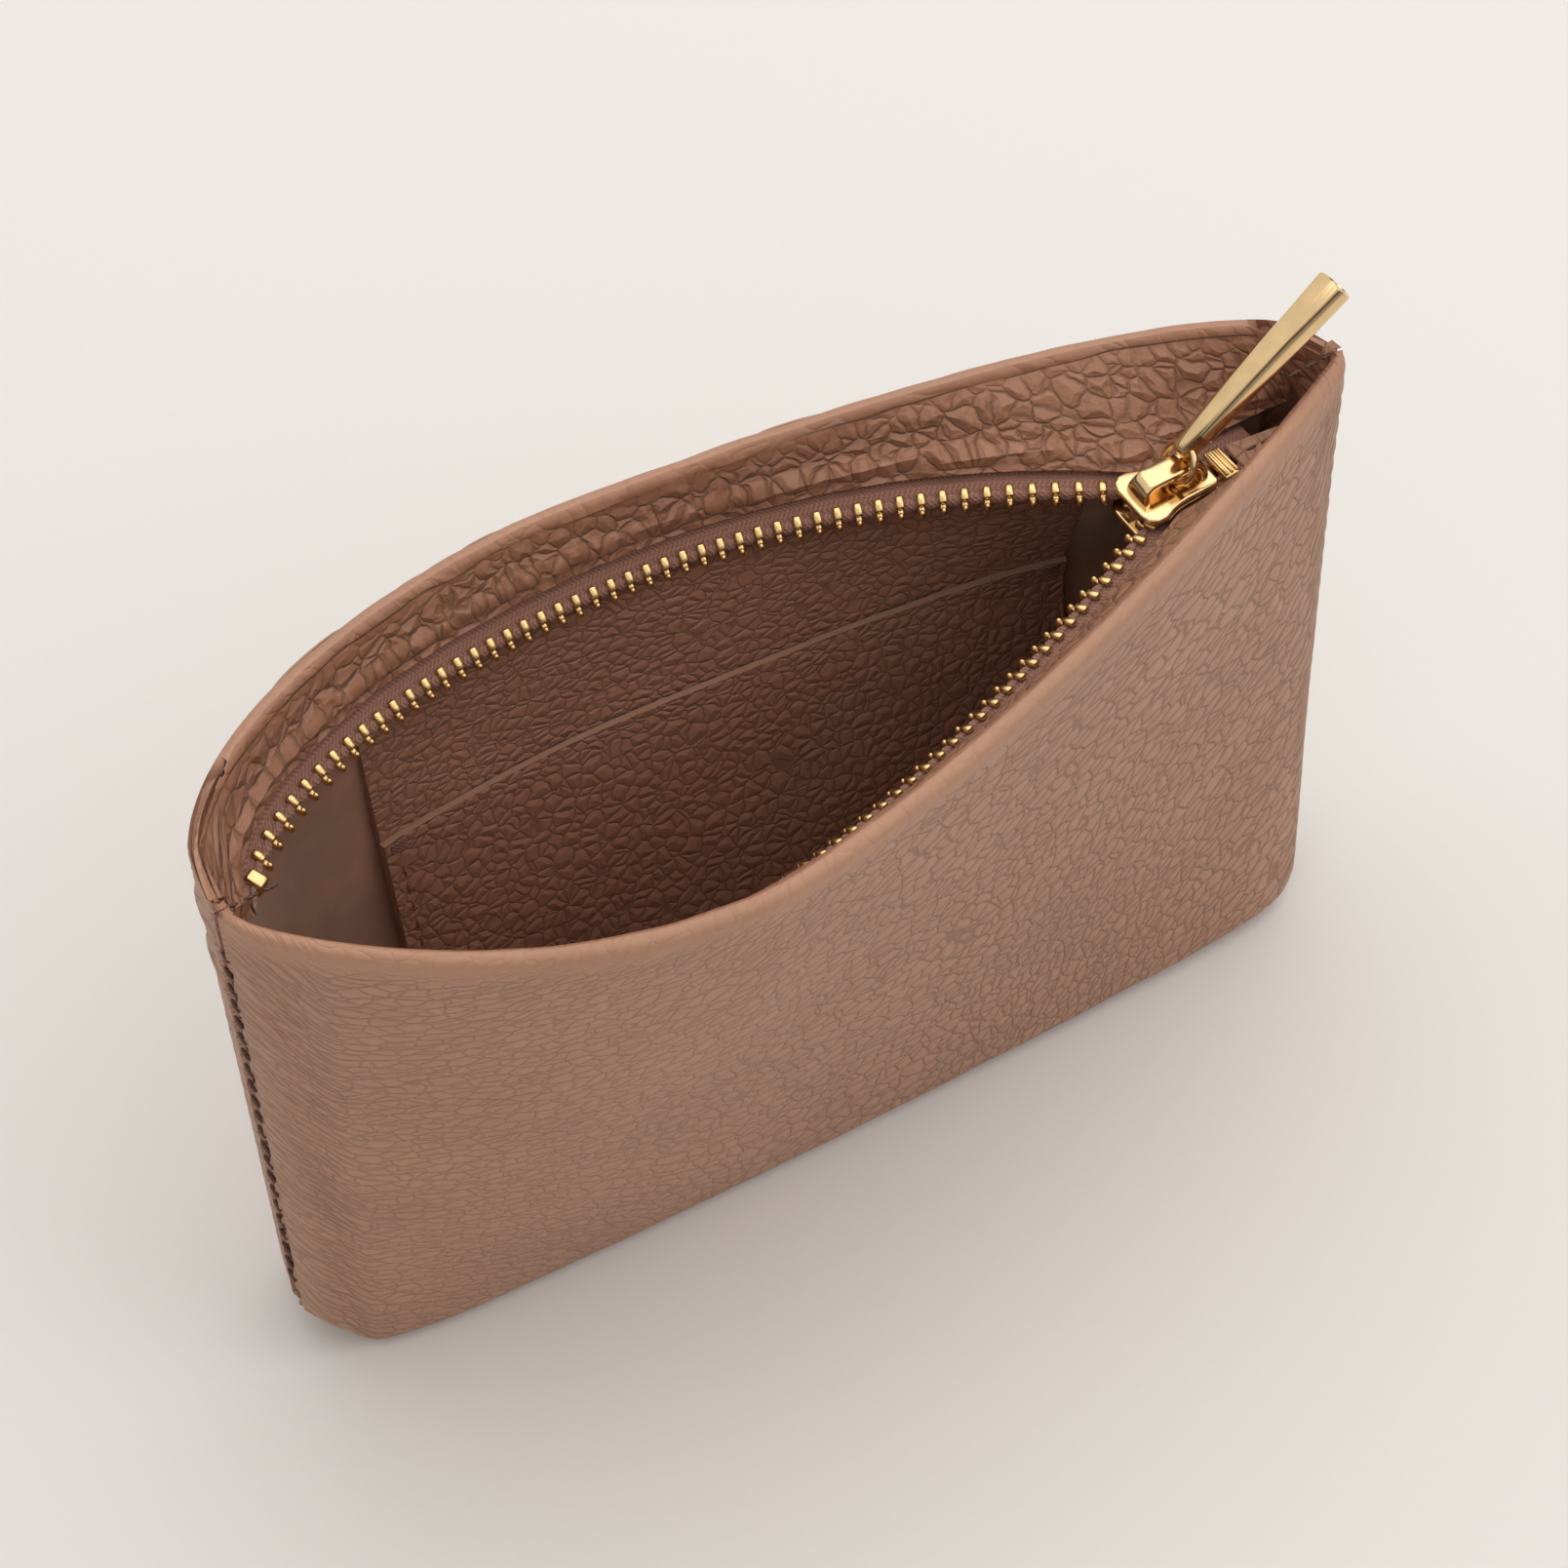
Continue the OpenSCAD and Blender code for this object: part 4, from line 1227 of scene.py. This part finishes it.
class POUCH_OT_teeth(bpy.types.Operator):
    """Clamps the two rows of teeth and their stops"""

    bl_idname = "pouch.teeth"
    bl_label = "Teeth and stops"

    def execute(self, context):
        for side in SIDES:
            self.row_of_teeth(side)
            self.top_stop(side)
        self.bottom_stop()
        return {"FINISHED"}

    def tooth(self):
        """One tooth: two legs round the cord, a neck, and a round nub."""
        bm = bmesh.new()
        box_in(bm, (1.05, 1.75, 0.85), (0, 0.72, 0.84), 0.2, 1)
        box_in(bm, (1.05, 1.75, 0.85), (0, 0.72, -0.84), 0.2, 1)
        box_in(bm, (0.8, 1.3, 1.1), (0, -0.35, 0), 0.16, 1)
        nub = bmesh.ops.create_uvsphere(bm, u_segments=8, v_segments=6, radius=1)["verts"]
        bmesh.ops.scale(bm, vec=(0.46, 0.62, 0.85), verts=nub)
        bmesh.ops.translate(bm, vec=(0, -0.95, 0), verts=nub)
        mark_sharp(bm, 50)
        mesh = bpy.data.meshes.new("one_tooth")
        bm.to_mesh(mesh)
        bm.free()
        return mesh

    def row_of_teeth(self, side):
        one = self.tooth()
        shift = TOOTH_PITCH / 2 if side is FRONT else 0
        for half, word in ((LEFT, "left"), (RIGHT, "right")):
            bm = bmesh.new()
            for k in range(TOOTH_COUNT):
                x = FIRST_TOOTH - shift - k * TOOTH_PITCH
                if (x < side.belly_x) == (half == LEFT):
                    before = len(bm.verts)
                    bm.from_mesh(one)
                    bm.verts.ensure_lookup_table()
                    bmesh.ops.transform(bm, matrix=on_row(side, x), verts=bm.verts[before:])
            if side is FRONT:
                bmesh.ops.reverse_faces(bm, faces=bm.faces)
            piece = new_piece(f"{side.name}_teeth_{word}", bm, FINISHES["teeth"])
            join_to_side(piece)
            standing_for(piece, "gold_metal", side.name + "_teeth")
        bpy.data.meshes.remove(one)

    def top_stop(self, side):
        x = FIRST_TOOTH - (TOOTH_COUNT + (0.5 if side is FRONT else 0)) * TOOTH_PITCH + 0.3
        bm = bmesh.new()
        box_in(bm, (2.0, 2.6, 2.8), (0, 0.1, 0), 0.45, 3)
        bmesh.ops.transform(bm, matrix=on_row(side, x), verts=bm.verts)
        if side is FRONT:
            bmesh.ops.reverse_faces(bm, faces=bm.faces)
        mark_sharp(bm, 50)
        piece = new_piece(side.name + "_stop", bm, FINISHES["teeth"])
        join_to_side(piece)
        standing_for(piece, "gold_metal", side.name + "_top_stop")

    def bottom_stop(self):
        """A clamped block with raised ridges across it."""
        bm = bmesh.new()
        box_in(bm, (2.6, 5.4, 2.8), (63.4, 0, ZIP_HEIGHT), 0.5, 3)
        for k in (-1, 0, 1):
            box_in(bm, (0.5, 4.4, 0.5), (63.4 + 0.78 * k, 0, ZIP_HEIGHT + 1.4), 0.18, 2)
        mark_sharp(bm, 50)
        piece = new_piece("bottom_stop_block", bm, FINISHES["teeth"])
        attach(piece, "shell")
        standing_for(piece, "gold_metal", "bottom_stop")


class POUCH_OT_end_tab(bpy.types.Operator):
    """Makes the small leather tab over the tape ends, with its stitches"""

    bl_idname = "pouch.end_tab"
    bl_label = "End tab"

    def execute(self, context):
        bm = bmesh.new()
        foot = ZIP_HEIGHT + TAPE_THICK / 2 + LAYER_GAP
        corners = [(65.4, -2.4), (74.4, -1.2), (74.4, 1.2), (65.4, 2.4)]
        face = bm.faces.new([bm.verts.new((x, y, foot)) for x, y in corners])
        grown = bmesh.ops.extrude_face_region(bm, geom=[face])["geom"]
        raised = [e for e in grown if isinstance(e, bmesh.types.BMVert)]
        bmesh.ops.translate(bm, vec=(0, 0, 0.9), verts=raised)
        bmesh.ops.bevel(
            bm, geom=bm.edges[:], offset=0.28, offset_type="OFFSET", affect="EDGES",
            segments=3, profile=0.5, material=-1)
        bmesh.ops.recalc_face_normals(bm, faces=bm.faces)
        mark_sharp(bm, 50)
        grain = bm.loops.layers.uv.new("grain")
        kept = bm.verts.layers.float.new("grain_height")
        for face in bm.faces:
            for loop in face.loops:
                loop[grain].uv = loop.vert.co.xy
                loop.vert[kept] = 0.8
        tab = new_piece("end_tab", bm, FINISHES["shell"])
        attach(tab, "shell")
        standing_for(tab, "pebbled_leather", "right_end_tab")
        bm = bmesh.new()
        for k in range(3):
            x = 67.2 + 2.3 * k
            stitch_in(bm, (x, 0, foot + 0.95), (x + 1.6, 0, foot + 0.95), 0.22)
        mark_sharp(bm, 80)
        sewn = new_piece("end_tab_stitches", bm, FINISHES["tonal_thread"])
        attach(sewn, "shell")
        standing_for(sewn, "thread")
        return {"FINISHED"}


# ---- Slider, ring and pull -------------------------------------------------

PLATE_HALF = [
    (-6, 2.6), (-5.6, 3.8), (-4.6, 4.6), (-3.2, 4.6), (-1.8, 4.0),
    (-0.6, 3.65), (0.6, 3.5), (5.4, 3.45), (6, 2.9),
]
BRIDGE_HALF, BRIDGE_HEIGHT, BRIDGE_WIDE, BRIDGE_THICK = 5.1, 3.1, 3.3, 1.0
RING_MAJOR, RING_WIRE = 2.6, 0.5
RING_LEAN = radians(27)
RING_FOOT = Vector((SLIDER_X + 0.4, 0, ZIP_HEIGHT + PLATE_OUT + RING_WIRE + 0.2))
PULL_RISE = radians(38.5)
PULL_PIVOT = RING_FOOT + 2 * RING_MAJOR * Vector((sin(RING_LEAN), 0, cos(RING_LEAN)))
PULL_LONG, PULL_END, PULL_TIP, PULL_FACET = 29.5, 1.75, 2.45, 1.75


def soften(bm, edges, width, segments=3):
    return bmesh.ops.bevel(
        bm, geom=edges, offset=width, offset_type="OFFSET", affect="EDGES",
        segments=segments, profile=0.5, material=-1, clamp_overlap=True)


def outline_block(bm, outline, low, high, bevel):
    """A plate cut to an outline, with rounded edges."""
    flat = [bm.verts.new((x, y, low)) for x, y in outline]
    face = bm.faces.new(flat)
    grown = bmesh.ops.extrude_face_region(bm, geom=[face])["geom"]
    raised = [e for e in grown if isinstance(e, bmesh.types.BMVert)]
    bmesh.ops.translate(bm, vec=(0, 0, high - low), verts=raised)
    faces = {f for v in flat + raised for f in v.link_faces}
    bmesh.ops.recalc_face_normals(bm, faces=list(faces))
    edges = {e for f in faces for e in f.edges if abs((e.verts[0].co - e.verts[1].co).z) < 0.01}
    soften(bm, list(edges), bevel)


class POUCH_OT_slider(bpy.types.Operator):
    """Makes the slider: two winged plates, their rims, the post and the arched bridge"""

    bl_idname = "pouch.slider"
    bl_label = "Slider"

    def execute(self, context):
        self.body()
        self.bridge()
        return {"FINISHED"}

    def body(self):
        outline = PLATE_HALF + [(x, -y) for x, y in reversed(PLATE_HALF)]
        bm = bmesh.new()
        outline_block(bm, outline, PLATE_IN, PLATE_OUT, 0.4)
        outline_block(bm, outline, -PLATE_OUT, -PLATE_IN, 0.3)
        rim = [(-3.0, 4.55), (-1.8, 4.0), (-0.6, 3.65), (0.6, 3.5), (5.6, 3.4), (5.6, 2.8),
               (0.6, 2.8), (-0.6, 3.15), (-2.6, 4.2)]
        for sign in (-1, 1):
            edge = [(x, sign * y) for x, y in rim]
            outline_block(bm, edge, 0.5, PLATE_IN + 0.1, 0.12)
            outline_block(bm, edge, -PLATE_IN - 0.1, -0.5, 0.12)
        post = [(-5.8, 0), (-5.0, 0.9), (-4.2, 0.6), (-3.4, 0), (-4.2, -0.6), (-5.0, -0.9)]
        outline_block(bm, post, -PLATE_IN - 0.1, PLATE_IN + 0.1, 0.1)
        bmesh.ops.translate(bm, vec=(SLIDER_X, 0, ZIP_HEIGHT), verts=bm.verts)
        mark_sharp(bm, 50)
        piece = new_piece("slider", bm, FINISHES["gold"])
        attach(piece, "slider")
        standing_for(piece, "gold_metal", "slider_body")

    def bridge(self):
        """A broad strap bent over the plate, a little wider where it lands."""
        r = 1.8
        half = BRIDGE_HALF - BRIDGE_THICK / 2
        height = BRIDGE_HEIGHT - BRIDGE_THICK / 2
        path = [(half, -0.2), (half, 0.5)]
        path += [(half - r + r * cos(radians(a)), height - r + r * sin(radians(a))) for a in range(0, 91, 10)]
        path += [(mix(half - r, r - half, k / 5), height) for k in range(1, 5)]
        path += [(-half + r + r * cos(radians(a)), height - r + r * sin(radians(a))) for a in range(90, 181, 10)]
        path += [(-half, 0.5), (-half, -0.2)]
        table = []
        for x, z in path:
            wide = BRIDGE_WIDE / 2 * mix(1.22, 1.0, smooth(z / 2.6))
            table.append([Vector((x, mix(-wide, wide, k / 4), z)) for k in range(5)])
        bm = laid_grid(table, lambda point: Vector((0, 0, 1)))
        raise_grain_side(bm, lambda column, row: BRIDGE_THICK / 2 * (1 - 0.1 * (row - 2) ** 2 / 2))
        thicken(bm, BRIDGE_THICK)
        rims = [e for e in bm.edges if e.is_manifold and e.calc_face_angle(0) > radians(50)]
        soften(bm, rims, 0.22, 2)
        bmesh.ops.translate(bm, vec=(SLIDER_X, 0, ZIP_HEIGHT + PLATE_OUT), verts=bm.verts)
        mark_sharp(bm, 60)
        piece = new_piece("bridge", bm, FINISHES["gold"])
        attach(piece, "slider")
        standing_for(piece, "gold_metal", "slider_bridge")


class POUCH_OT_pull(bpy.types.Operator):
    """Makes the wire ring and the tapered pull bar"""

    bl_idname = "pouch.pull"
    bl_label = "Ring and pull"

    def execute(self, context):
        self.ring()
        self.bar()
        return {"FINISHED"}

    def ring(self):
        bm = bmesh.new()
        wire = bmesh.ops.create_circle(bm, segments=16, radius=RING_WIRE)["verts"]
        bmesh.ops.rotate(bm, verts=wire, matrix=Matrix.Rotation(pi / 2, 3, "X"))
        bmesh.ops.translate(bm, vec=(RING_MAJOR, 0, 0), verts=wire)
        bmesh.ops.spin(
            bm, geom=bm.verts[:] + bm.edges[:], cent=(0, 0, 0), axis=(0, 0, 1),
            angle=2 * pi, steps=56, use_merge=True)
        bmesh.ops.remove_doubles(bm, verts=bm.verts, dist=0.001)
        stand = Matrix.Rotation(pi / 2, 4, "Y")
        lean = Matrix.Rotation(RING_LEAN, 4, "Y")
        centre = Matrix.Translation(RING_FOOT) @ lean @ Matrix.Translation((0, 0, RING_MAJOR))
        bmesh.ops.transform(bm, matrix=centre @ stand, verts=bm.verts)
        bmesh.ops.recalc_face_normals(bm, faces=bm.faces)
        mark_sharp(bm, 60)
        piece = new_piece("ring", bm, FINISHES["gold"])
        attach(piece, "ring")
        standing_for(piece, "gold_metal", "pull_ring")

    def bar(self):
        """Lathed along +Z from its eye, then cut flat on one side and drilled."""
        long = PULL_LONG - 2.2
        rim = 0.42
        profile = [
            (0, -1.6), (0.8, -1.56), (1.3, -1.36), (1.6, -1.04), (PULL_END, -0.6),
            (mix(PULL_END, PULL_TIP, 0.33), long * 0.33), (mix(PULL_END, PULL_TIP, 0.66), long * 0.66),
            (PULL_TIP, long - rim), (PULL_TIP - 0.12, long - 0.12), (PULL_TIP - rim, long),
            (PULL_TIP - rim - 0.35, long), (PULL_TIP - rim - 0.5, long - 0.16), (0, long - 0.2),
        ]
        bm = bmesh.new()
        points = [bm.verts.new((r, 0, z)) for r, z in profile]
        for a, b in zip(points, points[1:]):
            bm.edges.new((a, b))
        bmesh.ops.spin(
            bm, geom=bm.verts[:] + bm.edges[:], cent=(0, 0, 0), axis=(0, 0, 1),
            angle=2 * pi, steps=72, use_merge=True)
        bmesh.ops.remove_doubles(bm, verts=bm.verts, dist=0.001)
        bmesh.ops.recalc_face_normals(bm, faces=bm.faces)
        cut = bmesh.ops.bisect_plane(
            bm, geom=bm.verts[:] + bm.edges[:] + bm.faces[:], plane_co=(-PULL_FACET, 0, 0),
            plane_no=(-1, 0, 0), clear_outer=True)["geom_cut"]
        open_edges = [e for e in cut if isinstance(e, bmesh.types.BMEdge)]
        flat = bmesh.ops.holes_fill(bm, edges=open_edges, sides=0)["faces"]
        bmesh.ops.recalc_face_normals(bm, faces=bm.faces)
        soften(bm, list({e for f in flat for e in f.edges}), 0.07, 2)
        bar = new_piece("bar_blank", bm, FINISHES["gold"])
        cutter = self.eye_cutter()
        drill = bar.modifiers.new("eye", "BOOLEAN")
        drill.operation = "DIFFERENCE"
        drill.solver = "EXACT"
        drill.object = cutter
        graph = bpy.context.evaluated_depsgraph_get()
        drilled = bpy.data.meshes.new_from_object(bar.evaluated_get(graph))
        bpy.data.objects.remove(bar)
        bpy.data.objects.remove(cutter)
        bm = bmesh.new()
        bm.from_mesh(drilled)
        bpy.data.meshes.remove(drilled)
        bmesh.ops.scale(bm, vec=(1 / MM, 1 / MM, 1 / MM), verts=bm.verts)
        place = Matrix.Translation(PULL_PIVOT) @ Matrix.Rotation(pi / 2 - PULL_RISE, 4, "Y")
        bmesh.ops.transform(bm, matrix=place, verts=bm.verts)
        mark_sharp(bm, 28)
        piece = new_piece("pull", bm, FINISHES["gold"])
        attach(piece, "pull")
        standing_for(piece, "gold_metal", "pull_bar")

    def eye_cutter(self):
        """The eye's hole and the flats each side of it."""
        bm = bmesh.new()
        hole = bmesh.ops.create_cone(
            bm, cap_ends=True, segments=32, radius1=1.0, radius2=1.0, depth=3.4)["verts"]
        bmesh.ops.rotate(bm, verts=hole, matrix=Matrix.Rotation(pi / 2, 3, "X"))
        for sign in (-1, 1):
            box_in(bm, (10, 5, 7.2), (0, sign * 3.6, -1.4))
        return new_piece("eye_cutter", bm)


# ---- Sidebar and registration ----------------------------------------------

OPERATORS = (
    POUCH_OT_stage, POUCH_OT_leather_shell, POUCH_OT_lining, POUCH_OT_pocket, POUCH_OT_sewing,
    POUCH_OT_tapes, POUCH_OT_teeth, POUCH_OT_end_tab, POUCH_OT_slider, POUCH_OT_pull,
)


class POUCH_PT_sidebar(bpy.types.Panel):
    """Settings and pieces of the pouch"""

    bl_label = "Pouch"
    bl_idname = "POUCH_PT_sidebar"
    bl_space_type = "VIEW_3D"
    bl_region_type = "UI"
    bl_category = "Pouch"

    def draw(self, context):
        for group in (context.scene.pouch_sizes, context.scene.pouch_colours):
            for setting in group.bl_rna.properties:
                if setting.identifier not in ("rna_type", "name"):
                    self.layout.prop(group, setting.identifier)
        for operator in OPERATORS:
            self.layout.operator(operator.bl_idname)


CLASSES = (PouchColours, PouchSizes, *OPERATORS, POUCH_PT_sidebar)


def register():
    for cls in CLASSES:
        bpy.utils.register_class(cls)
    bpy.types.Scene.pouch_colours = bpy.props.PointerProperty(type=PouchColours)
    bpy.types.Scene.pouch_sizes = bpy.props.PointerProperty(type=PouchSizes)


def unregister():
    del bpy.types.Scene.pouch_sizes
    del bpy.types.Scene.pouch_colours
    for cls in reversed(CLASSES):
        bpy.utils.unregister_class(cls)


def main():
    register()
    for operator in OPERATORS:
        group, name = operator.bl_idname.split(".")
        getattr(getattr(bpy.ops, group), name)()


if __name__ == "__main__":
    main()
